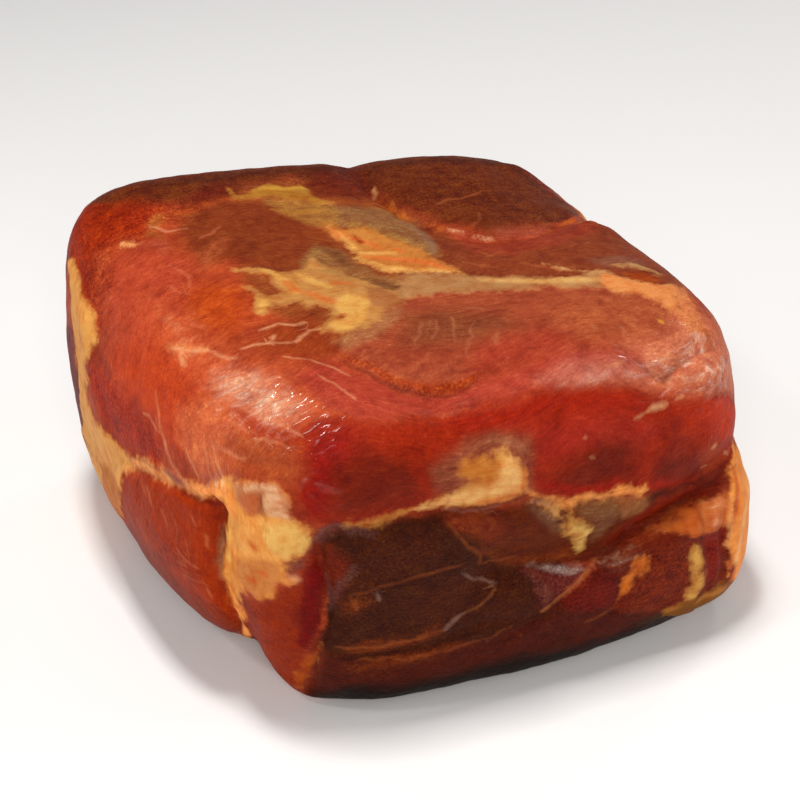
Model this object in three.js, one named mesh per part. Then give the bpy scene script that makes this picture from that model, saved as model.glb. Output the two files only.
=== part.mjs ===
import * as THREE from "three";
import { mergeVertices } from "three/addons/utils/BufferGeometryUtils.js";

// A boneless raw cured ham, pressed into a block: one solid piece of meat.
// Millimetres, +Z up. The broad front faces -Y and the block rests on z = 0.
// Each point of the surface starts on a cube from -1 to 1, here called the blank: x runs from left
// to right, y from front to back and z from foot to crown. The blank's corners are first rounded,
// then stretched to the corners of the pressed block, and its faces are crowned. Swells and
// creases, the lobes of the muscles and the seams between them, are placed on the blank too.

// Driving sizes of the press
const WIDTH = 174;
const DEPTH = 180;
const HEIGHT = 120;
const FLATTENED = 3; // how much of the rounded underside the board has pressed flat

// Powers of the rounded block: 2 is a ball, and a high power is a sharp box
const PLAN_POWER = 6.0; // seen from above
const RISE_POWER = 6.3; // seen from the side

// How far each corner of the block has strayed from a true box
const CORNERS = [
  { blank: [-1, -1, -1], stray: [-2, 12, 0] },
  { blank: [1, -1, -1], stray: [8, -8.5, -1] },
  { blank: [-1, 1, -1], stray: [1, 9, 2] },
  { blank: [1, 1, -1], stray: [-2.5, 0, 0] },
  { blank: [-1, -1, 1], stray: [4.5, -5.5, -9] },
  { blank: [1, -1, 1], stray: [-10, 2, -3.5] },
  { blank: [-1, 1, 1], stray: [-3.5, 4.5, 5] },
  { blank: [1, 1, 1], stray: [4, -9, -14] },
];

// How far the middle of each face stands out, [low side, high side] along x, y and z
const CROWNS = [
  [13, 5],
  [7, 3.5],
  [4, 0],
];

// Lobes and hollows: a place on the blank, its reach there, and its rise
const SWELLS = [
  { name: "cut away heel", at: [-1, -0.82, -1], reach: 0.42, rise: -14 },
  { name: "front toe", at: [-0.75, -1, -1], reach: 0.4, rise: 9.5 },
  { name: "tip of the toe", at: [-0.9, -1, -1], reach: 0.15, rise: 3.5 },
  { name: "front foot", at: [0.05, -1, -1], reach: 0.5, rise: 5 },
  { name: "back right shoulder", at: [1, 0.35, 1], reach: 0.4, rise: -3.5 },
  { name: "lower left side", at: [-1, 0.35, -0.6], reach: 0.6, rise: -1 },
  { name: "lower left muscle", at: [-1, -0.4, -0.2], reach: 0.3, rise: 2 },
  { name: "bone channel", at: [-0.15, 0.12, 1], reach: 0.3, rise: -2.5 },
  { name: "channel tail", at: [0.25, -0.35, 1], reach: 0.22, rise: -1.5 },
  { name: "upper front muscle", at: [0.45, -1, 0.55], reach: 0.35, rise: 1.5 },
  { name: "front left muscle", at: [-0.6, -0.7, 1], reach: 0.3, rise: 1.5 },
  { name: "lower right muscle", at: [0.75, -1, -0.4], reach: 0.35, rise: 2 },
  { name: "right muscle", at: [1, 0.1, -0.45], reach: 0.45, rise: 1 },
  { name: "back muscle", at: [-0.3, 1, 0.5], reach: 0.45, rise: 1 },
  { name: "back lower muscle", at: [0.35, 1, -0.5], reach: 0.45, rise: 2 },
];

// Seams between muscles: a route on the blank, and the width and depth of the groove in mm
const CREASES = [
  {
    name: "front seam",
    width: 6,
    depth: 2,
    route: [[-0.84, -1, 0.41], [-0.52, -1, 0.46], [-0.17, -1, 0.39], [0.12, -1, 0.22]],
  },
  {
    name: "flap on the front",
    width: 6,
    depth: 5,
    route: [[0.86, -1, 0.1], [0.67, -1, 0.07], [0.39, -1, -0.05], [0.06, -1, -0.1], [-0.2, -1, -0.05]],
  },
  {
    name: "seam round the left",
    width: 6,
    depth: 2,
    route: [[-1, 0.35, -0.2], [-1, 0.14, -0.18], [-1, -0.1, 0.1], [-1, -0.3, 0.25], [-1, -0.73, 0.47]],
  },
  {
    name: "cleft by the corner",
    width: 6,
    depth: 4.5,
    route: [[-1, -0.72, 0.3], [-1, -0.74, -0.1], [-1, -0.83, -0.47], [-1, -0.8, -0.86]],
  },
  {
    name: "corner seam",
    width: 5,
    depth: 1.5,
    route: [[-0.84, -1, 0.4], [-0.81, -1, 0], [-0.83, -1, -0.4], [-0.88, -1, -0.8]],
  },
  {
    name: "step on the top",
    width: 6,
    depth: 2,
    route: [[-0.55, -0.55, 1], [-0.43, -0.8, 1], [-0.34, -0.9, 1], [-0.1, -0.9, 1], [0.1, -0.84, 1]],
  },
  {
    name: "seam on the top",
    width: 6,
    depth: 2.5,
    route: [[0.22, 1, 0.8], [0.14, 0.68, 1], [0.08, 0.4, 1], [0.22, 0.09, 1], [0.39, -0.08, 1], [0.93, 0.11, 1], [1, 0.25, 0.6]],
  },
  {
    name: "pinch at the right",
    width: 5,
    depth: 3,
    route: [[0.51, -1, 1], [0.54, -1, 0.8], [0.6, -1, 0.74], [0.86, -1, 0.84]],
  },
  {
    name: "seam round the right",
    width: 7,
    depth: 2,
    route: [[0.86, -1, 0.1], [1, -0.95, 0.1], [1, -0.5, 0.12], [1, 0, 0.05], [1, 0.5, -0.1], [1, 1, -0.15]],
  },
  {
    name: "seam round the back",
    width: 6,
    depth: 3,
    route: [[1, 1, -0.15], [0.55, 1, 0.05], [0.1, 1, 0], [-0.45, 1, -0.1], [-0.85, 1, 0.1]],
  },
  {
    name: "cleft in the back",
    width: 6,
    depth: 3,
    route: [[0.22, 1, 0.8], [0.28, 1, 0.4], [0.2, 1, 0.02]],
  },
];

// Cells of the blank along x, y and z, about 6 mm each, and how close its shared corners are
const CELLS = [30, 32, 20];
const SAME_PLACE = 1e-5;

// A point of the cube, pulled onto the rounded cube along the line to its middle
function rounded(blank) {
  const [x, y, z] = blank.toArray().map(Math.abs);
  const plan = Math.pow(x, PLAN_POWER) + Math.pow(y, PLAN_POWER);
  const size = Math.pow(plan, RISE_POWER / PLAN_POWER) + Math.pow(z, RISE_POWER);
  return blank.clone().multiplyScalar(Math.pow(size, -1 / RISE_POWER));
}

// The rounded cube's point, carried with the eight corners of the block
function stretched(point) {
  const half = new THREE.Vector3(WIDTH / 2, DEPTH / 2, HEIGHT / 2);
  const place = new THREE.Vector3();
  for (const { blank, stray } of CORNERS) {
    const share = blank.reduce((product, side, axis) => product * (1 + side * point.getComponent(axis)) * 0.5, 1);
    const corner = new THREE.Vector3(...blank).multiply(half).add(new THREE.Vector3(...stray));
    place.addScaledVector(corner, share);
  }
  return place;
}

// How far the crown of each face carries the point out
function crown(point) {
  const out = new THREE.Vector3();
  for (let axis = 0; axis < 3; axis++) {
    const across = point.getComponent((axis + 1) % 3);
    const along = point.getComponent((axis + 2) % 3);
    const middle = (1 - across * across) * (1 - along * along);
    const height = point.getComponent(axis);
    const [low, high] = CROWNS[axis];
    out.setComponent(axis, middle * height * (height > 0 ? high : low));
  }
  return out;
}

// Keeps a point on or above the board that the block lies on
function onBoard(place) {
  place.z = Math.max(place.z, 0);
  return place;
}

// The smooth block, before its swells and creases
function blockPoint(blank) {
  const point = rounded(blank);
  const place = stretched(point).add(crown(point));
  place.z += HEIGHT / 2 - FLATTENED;
  return onBoard(place);
}

// How far all the swells lift a point of the blank
function swell(blank) {
  return SWELLS.reduce((sum, { at, reach, rise }) => {
    const away = blank.distanceToSquared(new THREE.Vector3(...at));
    return sum + rise * Math.exp(-away / (reach * reach));
  }, 0);
}

// The block with its swells, which push out from the middle of the block
function swollenPoint(blank) {
  const place = blockPoint(blank);
  const outward = place.clone().sub(new THREE.Vector3(0, 0, HEIGHT / 2)).normalize();
  return onBoard(place.addScaledVector(outward, swell(blank)));
}

// Each crease with its route as straight stretches between points of the swollen block. The blank's
// route is cut finer first, so that the stretches follow the rounding.
function creaseLines() {
  const STRETCHES = 6;
  return CREASES.map(({ width, depth, route }) => {
    const stops = [];
    route.slice(1).forEach((end, index) => {
      const from = new THREE.Vector3(...route[index]);
      const to = new THREE.Vector3(...end);
      for (let step = 0; step < STRETCHES; step++) {
        stops.push(swollenPoint(from.clone().lerp(to, step / STRETCHES)));
      }
    });
    stops.push(swollenPoint(new THREE.Vector3(...route.at(-1))));
    return { width, depth, stops };
  });
}

// How deep the creases cut at a place: the deepest one counts
function creaseDepth(place, lines) {
  const nearest = new THREE.Vector3();
  let deepest = 0;
  for (const { width, depth, stops } of lines) {
    let gap = Infinity;
    for (let index = 1; index < stops.length; index++) {
      new THREE.Line3(stops[index - 1], stops[index]).closestPointToPoint(place, true, nearest);
      gap = Math.min(gap, nearest.distanceTo(place));
    }
    deepest = Math.max(deepest, depth * Math.exp(-((gap / width) ** 2)));
  }
  return deepest;
}

// The block's surface: the cube's own faces, moved to the swollen block, then creased along their
// normals
function hamGeometry() {
  const cube = new THREE.BoxGeometry(2, 2, 2, ...CELLS);
  cube.deleteAttribute("normal");
  cube.deleteAttribute("uv");
  const geometry = mergeVertices(cube, SAME_PLACE);
  const positions = geometry.getAttribute("position");
  const place = new THREE.Vector3();
  for (let index = 0; index < positions.count; index++) {
    place.fromBufferAttribute(positions, index);
    positions.setXYZ(index, ...swollenPoint(place));
  }
  geometry.computeVertexNormals();
  const normals = geometry.getAttribute("normal");
  const lines = creaseLines();
  const normal = new THREE.Vector3();
  for (let index = 0; index < positions.count; index++) {
    place.fromBufferAttribute(positions, index);
    normal.fromBufferAttribute(normals, index);
    place.addScaledVector(normal, -creaseDepth(place, lines));
    positions.setXYZ(index, ...onBoard(place));
  }
  geometry.deleteAttribute("normal");
  geometry.computeBoundingBox();
  const { min, max } = geometry.boundingBox;
  return geometry.translate(-(min.x + max.x) / 2, -(min.y + max.y) / 2, -min.z);
}

const CURED_MEAT = new THREE.MeshStandardMaterial({ color: 0x8f2f1a, roughness: 0.4, metalness: 0 });

const ham = new THREE.Mesh(hamGeometry(), CURED_MEAT);
ham.name = "ham";

const root = new THREE.Group();
root.add(ham);

export default root;
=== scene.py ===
import math

import bmesh
import bpy
import numpy as np
from mathutils import Euler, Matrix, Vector, noise
from mathutils.bvhtree import BVHTree


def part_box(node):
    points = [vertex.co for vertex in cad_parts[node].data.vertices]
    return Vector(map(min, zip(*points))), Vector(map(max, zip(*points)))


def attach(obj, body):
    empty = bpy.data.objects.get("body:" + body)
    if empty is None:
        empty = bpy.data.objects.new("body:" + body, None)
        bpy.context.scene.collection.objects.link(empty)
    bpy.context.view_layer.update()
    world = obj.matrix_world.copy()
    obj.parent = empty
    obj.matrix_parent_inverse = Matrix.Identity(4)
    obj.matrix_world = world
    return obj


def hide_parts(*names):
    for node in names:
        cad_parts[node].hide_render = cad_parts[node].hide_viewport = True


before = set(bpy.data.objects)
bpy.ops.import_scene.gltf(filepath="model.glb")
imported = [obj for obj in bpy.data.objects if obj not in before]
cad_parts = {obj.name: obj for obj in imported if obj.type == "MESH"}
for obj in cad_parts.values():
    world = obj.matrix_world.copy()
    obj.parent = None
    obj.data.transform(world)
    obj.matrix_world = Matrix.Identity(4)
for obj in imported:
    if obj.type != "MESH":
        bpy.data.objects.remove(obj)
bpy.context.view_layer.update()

MM = 0.001

# The camera of the photograph, found from the outline of the block
PHOTO_SIZE = 800
FILM_WIDTH = 36.0
LENS = 90.0
TURN = 26.4
TILT = 31.0
DISTANCE = 668.9
TARGET = Vector((2.98, -0.14, 53.6))
PIXEL = FILM_WIDTH / LENS / PHOTO_SIZE

# Cells of the surface along x, y and z, about 1.3 mm each
CELLS = (150, 150, 88)
SMOOTHING_PASSES = 8

# How a shape is drawn on the ham. Points of two values are pixels in the photograph's own frame, across
# and down, and make a closed outline. Points of three values are pixels and half the breadth of a
# stroke in mm. Points of four values are x, y, z and half the breadth, all in mm, on a hidden side.

# In mm: what counts as well inside an outline, and how fast its cover fades on what faces away from
# the camera
WELL_INSIDE = 10.0
TURNED_AWAY = 40.0

# Lean meat before any wash
LEAN_LIGHT = "#ac4220"
LEAN_DARK = "#963618"

# Washes over the lean, in the order of painting: name, colour, feather in mm, strength, shapes
WASHES = [
    ("brown round the fat on the top", "#8c401a", 4.0, 1.0, [
        [(222, 188), (262, 178), (310, 178), (372, 194), (398, 208), (424, 220), (452, 242), (478, 266), (545, 270),
         (604, 264), (662, 270), (692, 296), (676, 320), (620, 304), (553, 298), (497, 304), (446, 306), (412, 312),
         (398, 326), (352, 346), (318, 340), (274, 314), (256, 300), (244, 284), (240, 266), (290, 260),
         (318, 250), (312, 228), (262, 208), (222, 206)],
    ]),
    ("back crust", "#622509", 5.0, 0.95, [
        [(92, 228), (88, 190), (150, 150), (370, 130), (530, 130), (620, 200), (585, 214), (545, 226),
         (490, 234), (440, 224), (400, 208), (370, 192), (320, 190), (290, 176), (250, 183), (225, 192), (180, 202),
         (140, 208), (112, 226)],
    ]),
    ("dark red behind the upper band", "#661d0a", 3.0, 0.9, [
        [(308, 184), (316, 172), (360, 168), (372, 190), (362, 202), (335, 198), (316, 194)],
        [(200, 188), (226, 180), (236, 192), (215, 202), (185, 208)],
    ]),
    ("far edge", "#4f1c08", 5.0, 0.85, [
        [(150, 186, 2.0), (220, 177, 3.0), (300, 169, 3.0), (370, 168, 3.0), (450, 160, 4.0), (510, 166, 4.0),
         (545, 190, 2.5)],
    ]),
    ("left crust", "#932301", 5.0, 0.9, [
        [(50, 262), (55, 225), (88, 205), (125, 203), (168, 206), (150, 222), (150, 236), (115, 242), (97, 252),
         (92, 275), (94, 300), (100, 325), (94, 332), (86, 300), (76, 268)],
    ]),
    ("pink flesh on the left of the top", "#b24228", 8.0, 0.8, [
        [(112, 262), (150, 246), (186, 262), (190, 300), (160, 340), (140, 370), (112, 350), (100, 310)],
    ]),
    ("middle brown", "#7c3213", 5.0, 0.95, [
        [(178, 213), (225, 200), (262, 202), (290, 212), (315, 226), (335, 245), (325, 262), (290, 272), (270, 268),
         (235, 262), (205, 262), (185, 245)],
    ]),
    ("orange rim of the middle", "#a34012", 3.0, 0.7, [
        [(152, 226, 1.2), (170, 214, 2.0), (200, 206, 1.6), (232, 200, 1.0)],
    ]),
    ("orange blotch", "#bf4a10", 6.0, 0.8, [
        [(192, 292), (215, 285), (240, 292), (248, 312), (232, 332), (206, 328), (192, 310)],
    ]),
    ("brown belly", "#8f360f", 4.0, 0.85, [
        [(262, 328), (310, 314), (335, 336), (350, 352), (332, 358), (290, 356), (262, 350)],
    ]),
    ("strip behind the tail", "#7f3519", 3.0, 0.95, [
        [(424, 226), (470, 242), (520, 243), (560, 232), (592, 214), (650, 235), (692, 288), (672, 288), (600, 280),
         (545, 286), (500, 286), (474, 284), (446, 266)],
    ]),
    ("red below the seam", "#93351f", 3.0, 0.85, [
        [(452, 232), (500, 240), (550, 232), (585, 220), (600, 232), (560, 246), (512, 252), (470, 248)],
    ]),
    ("red by the seam", "#9d4834", 1.5, 0.5, [
        [(490, 229), (520, 228), (548, 226), (556, 229), (530, 234), (500, 236)],
    ]),
    ("pink shoulder", "#c4552f", 8.0, 0.9, [
        [(146, 300), (172, 306), (205, 338), (240, 362), (280, 372), (312, 396), (330, 414), (300, 424), (262, 428),
         (228, 424), (205, 402), (185, 378), (160, 350)],
    ]),
    # Partly painted highlight: a pale wash where the shoulder shines
    ("pale shoulder, partly painted highlight", "#d49676", 6.0, 0.7, [
        [(215, 378), (250, 376), (282, 392), (296, 410), (275, 420), (245, 410), (222, 396)],
    ]),
    ("red dip in the shoulder", "#a2240e", 2.5, 0.8, [
        [(222, 412), (240, 412), (262, 421), (286, 431), (299, 439), (290, 446), (268, 437), (242, 434), (226, 426)],
        [(224, 452), (240, 456), (262, 462), (284, 464), (288, 472), (256, 472), (230, 466)],
    ]),
    ("top muscle", "#994126", 3.0, 0.95, [
        [(342, 352), (362, 340), (385, 322), (405, 294), (470, 284), (560, 280), (650, 288), (690, 302), (706, 345),
         (650, 352), (606, 351), (555, 353), (526, 359), (490, 373), (475, 382), (461, 390), (438, 393),
         (419, 392), (395, 385), (362, 369)],
    ]),
    ("red low on the top muscle", "#9c2f1c", 6.0, 0.8, [
        [(470, 345), (540, 330), (620, 338), (640, 350), (600, 354), (550, 356), (500, 370), (470, 384)],
    ]),
    ("olive haze", "#7c3b1f", 6.0, 0.85, [
        [(405, 315), (440, 308), (500, 312), (512, 326), (480, 340), (430, 348), (405, 345)],
    ]),
    ("right of the top muscle", "#a74f2b", 8.0, 0.9, [
        [(560, 300), (640, 300), (690, 322), (704, 345), (640, 346), (580, 346), (560, 325)],
    ]),
    ("right shoulder", "#ce7453", 7.0, 0.9, [
        [(625, 350), (672, 338), (690, 312), (712, 318), (745, 350), (745, 392), (715, 394), (680, 388), (650, 388)],
    ]),
    ("rosy membrane", "#a93b28", 3.0, 0.95, [
        [(300, 375), (330, 362), (362, 371), (395, 387), (438, 395), (475, 384), (500, 372), (555, 354), (610, 351),
         (640, 352), (640, 372), (600, 382), (560, 388), (520, 394), (480, 404), (440, 413), (400, 418),
         (364, 421), (330, 408)],
    ]),
    ("pale membrane", "#bd6f5a", 6.0, 0.8, [
        [(540, 380), (566, 366), (620, 357), (652, 366), (640, 382), (600, 386), (560, 388)],
    ]),
    ("left face", "#bc3d14", 8.0, 0.9, [
        [(105, 350), (150, 345), (185, 375), (205, 400), (220, 420), (225, 440), (200, 455), (180, 460), (160, 440),
         (140, 420), (115, 400)],
    ]),
    ("left face, by the strip", "#9c1f00", 5.0, 0.9, [
        [(85, 365), (100, 362), (118, 388), (142, 415), (162, 447), (155, 464), (130, 452), (110, 430), (95, 400)],
    ]),
    ("left face, behind the strip", "#6b0a00", 3.0, 0.95, [
        [(40, 330), (66, 320), (75, 345), (82, 385), (86, 412), (98, 456), (90, 470), (40, 420)],
    ]),
    ("pale skin above the seam", "#cd653b", 5.0, 0.85, [
        [(180, 405), (215, 395), (240, 415), (246, 448), (234, 468), (216, 474), (196, 470), (180, 440)],
    ]),
    ("deep red", "#962206", 3.5, 1.0, [
        [(300, 428), (330, 414), (364, 423), (400, 420), (442, 415), (513, 395), (560, 391), (600, 391), (650, 392),
         (700, 396), (760, 402), (760, 452), (715, 478), (690, 488), (650, 495), (560, 500), (530, 495), (524, 460),
         (500, 448), (460, 450), (455, 480), (420, 505), (380, 518), (335, 526), (310, 522), (298, 495), (286, 470),
         (285, 445)],
    ]),
    ("bright red under the membrane", "#9a1c06", 3.0, 0.85, [
        [(440, 422), (470, 412), (520, 400), (570, 396), (640, 396), (650, 404), (600, 412), (560, 412), (510, 424),
         (470, 430)],
    ]),
    ("crimson behind the corner", "#8e0c06", 5.0, 0.9, [
        [(298, 452), (318, 436), (344, 434), (352, 452), (332, 500), (320, 522), (304, 512)],
    ]),
    ("rosy band across the front", "#a3281a", 5.0, 0.8, [
        [(500, 436), (540, 424), (590, 416), (640, 412), (660, 430), (640, 452), (600, 448), (545, 462), (528, 452)],
    ]),
    ("red right of the marks", "#c03008", 6.0, 0.85, [
        [(672, 404), (700, 398), (738, 402), (738, 436), (715, 440), (690, 428)],
    ]),
    ("dark red", "#701a06", 6.0, 0.95, [
        [(334, 466), (360, 452), (400, 456), (436, 474), (425, 492), (400, 507), (360, 517), (336, 520),
         (328, 500)],
        [(545, 484), (580, 456), (604, 440), (622, 434), (640, 450), (625, 484), (590, 492), (560, 492)],
        [(650, 480), (660, 456), (690, 448), (712, 452), (722, 470), (700, 484)],
    ]),
    ("crimson along the lower edge", "#a81602", 2.5, 0.8, [
        [(540, 482, 1.0), (562, 490, 1.6), (590, 492, 1.6), (616, 484, 1.0)],
        [(648, 486, 1.2), (662, 488, 1.4), (676, 484, 0.8)],
    ]),
    ("brown at the right end", "#9c3004", 3.0, 0.85, [
        [(700, 452), (716, 440), (730, 452), (732, 476), (712, 480), (700, 468)],
    ]),
    ("crust by the corner", "#a04420", 5.0, 0.9, [
        [(228, 440), (258, 430), (298, 446), (304, 470), (296, 486), (270, 484), (236, 475)],
    ]),
    ("left lower muscle", "#982b00", 3.0, 1.0, [
        [(122, 470), (150, 476), (190, 494), (222, 508), (221, 540), (216, 575), (226, 600), (246, 640), (235, 660),
         (140, 590), (100, 530), (112, 490)],
    ]),
    ("left lower edge", "#7b2200", 4.0, 0.85, [
        [(95, 540), (130, 520), (165, 568), (205, 603), (240, 632), (235, 660), (150, 610)],
    ]),
    ("foot", "#8a2500", 3.0, 1.0, [
        [(245, 598), (262, 602), (284, 590), (298, 583), (302, 560), (318, 545), (327, 570), (324, 600), (316, 630),
         (306, 655), (298, 690), (260, 670), (246, 640)],
    ]),
    ("red stripe", "#6e0100", 2.5, 1.0, [
        [(300, 574), (315, 558), (326, 580), (326, 604), (320, 632), (309, 652), (297, 648), (300, 620), (303, 595)],
    ]),
    ("bottom front", "#4a1000", 4.0, 1.0, [
        [(322, 650), (345, 640), (400, 640), (450, 630), (500, 615), (560, 590), (620, 602), (660, 610), (700, 640),
         (560, 690), (450, 720), (320, 730), (306, 690), (312, 668)],
        [(-60, -92, 6, 8.0), (0, -94, 8, 10.0), (60, -96, 8, 8.0), (92, -92, 10, 7.0)],
    ]),
    ("dark front", "#3e1300", 2.0, 1.0, [
        [(320, 538), (345, 527), (372, 529), (404, 515), (445, 512), (462, 530), (500, 540), (540, 556), (570, 566),
         (560, 590), (548, 612), (520, 628), (470, 640), (440, 648), (400, 655), (345, 658), (320, 652), (330, 615),
         (330, 585), (323, 560)],
    ]),
    ("red lean left of the dark front", "#6a1a00", 3.5, 0.9, [
        [(314, 548), (336, 546), (352, 562), (345, 586), (335, 604), (326, 600), (322, 575)],
    ]),
    ("smoky fibres on the dark front", "#481701", 4.0, 0.8, [
        [(345, 575), (370, 546), (395, 530), (420, 520), (440, 534), (440, 560), (400, 580), (350, 596)],
    ]),
    ("olive muscle in the dark front", "#451500", 4.0, 0.9, [
        [(400, 600), (440, 580), (490, 568), (525, 574), (538, 592), (530, 618), (480, 630), (430, 625)],
    ]),
    ("orange lean above the lower line", "#702a02", 2.5, 0.85, [
        [(345, 648), (380, 640), (415, 634), (440, 624), (440, 634), (425, 642), (385, 650), (350, 653)],
        [(350, 666, 1.0), (385, 662, 2.0), (430, 655, 1.6), (455, 646, 0.6)],
        [(344, 612, 0.8), (354, 606, 2.2), (368, 600, 1.0)],
    ]),
    ("brown flap", "#5e1e01", 3.0, 1.0, [
        [(445, 512), (500, 506), (530, 500), (560, 505), (600, 500), (650, 495), (690, 486), (725, 466), (716, 488),
         (690, 500), (652, 523), (622, 543), (594, 558), (560, 563), (520, 563), (480, 546), (460, 530)],
    ]),
    ("orange lower edge of the flap", "#7c3006", 2.0, 0.8, [
        [(478, 553, 0.8), (500, 560, 1.4), (530, 562, 1.4), (556, 558, 1.4), (566, 552, 0.8)],
    ]),
    ("red upper left of the flap", "#7a2a0e", 2.5, 0.8, [
        [(440, 516), (470, 512), (500, 514), (506, 530), (488, 544), (466, 534), (450, 528)],
    ]),
    ("dark end of the flap", "#7c1a04", 3.0, 0.95, [
        [(640, 508), (680, 490), (726, 464), (716, 488), (690, 502), (652, 524), (622, 543), (606, 545), (622, 524)],
    ]),
    ("below the flap", "#6c1b00", 3.0, 0.95, [
        [(602, 560), (640, 542), (690, 512), (745, 480), (745, 590), (700, 606), (650, 612), (615, 608), (590, 590)],
    ]),
    ("wet wrinkles below the flap", "#7c3820", 3.0, 0.8, [
        [(600, 556), (622, 546), (640, 545), (630, 562), (610, 572), (598, 568)],
    ]),
    ("dark red by the right edge", "#7c1404", 2.0, 0.9, [
        [(707, 534), (726, 528), (727, 545), (722, 570), (708, 584), (706, 560)],
    ]),
    # Painted shade: near black along the bottom, where the ham meets the floor
    ("painted shade along the bottom rim", "#180a04", 4.0, 1.0, [
        [(312, 694), (340, 690), (400, 684), (450, 674), (500, 662), (560, 648), (620, 636), (660, 626), (690, 630),
         (600, 700), (450, 740), (310, 740)],
        [(-60, -94, 0, 5.0), (0, -96, 0, 6.0), (60, -96, 0, 6.0), (90, -94, 0, 4.0)],
    ]),
    ("pressed underside", "#6e2610", 8.0, 0.9, [
        [(-44, 0, 0, 46.0), (44, 0, 0, 46.0)],
    ]),
    ("lean on the right side", "#9c2f14", 8.0, 0.9, [
        [(97, -60, 92, 12.0), (97, 0, 84, 16.0), (95, 60, 90, 14.0)],
    ]),
    ("dark lean on the right side", "#5c200c", 7.0, 0.9, [
        [(97, -40, 22, 10.0), (97, 20, 18, 14.0), (92, 70, 22, 12.0)],
    ]),
    ("crust on the back", "#6b2a12", 8.0, 0.9, [
        [(-80, 94, 100, 12.0), (0, 97, 104, 12.0), (80, 90, 98, 12.0)],
        [(60, 92, 74, 10.0), (20, 97, 78, 8.0)],
    ]),
    ("lower lean on the back", "#8e3010", 8.0, 0.9, [
        [(-70, 95, 24, 12.0), (0, 97, 22, 14.0), (60, 94, 20, 12.0)],
    ]),
]

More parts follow.
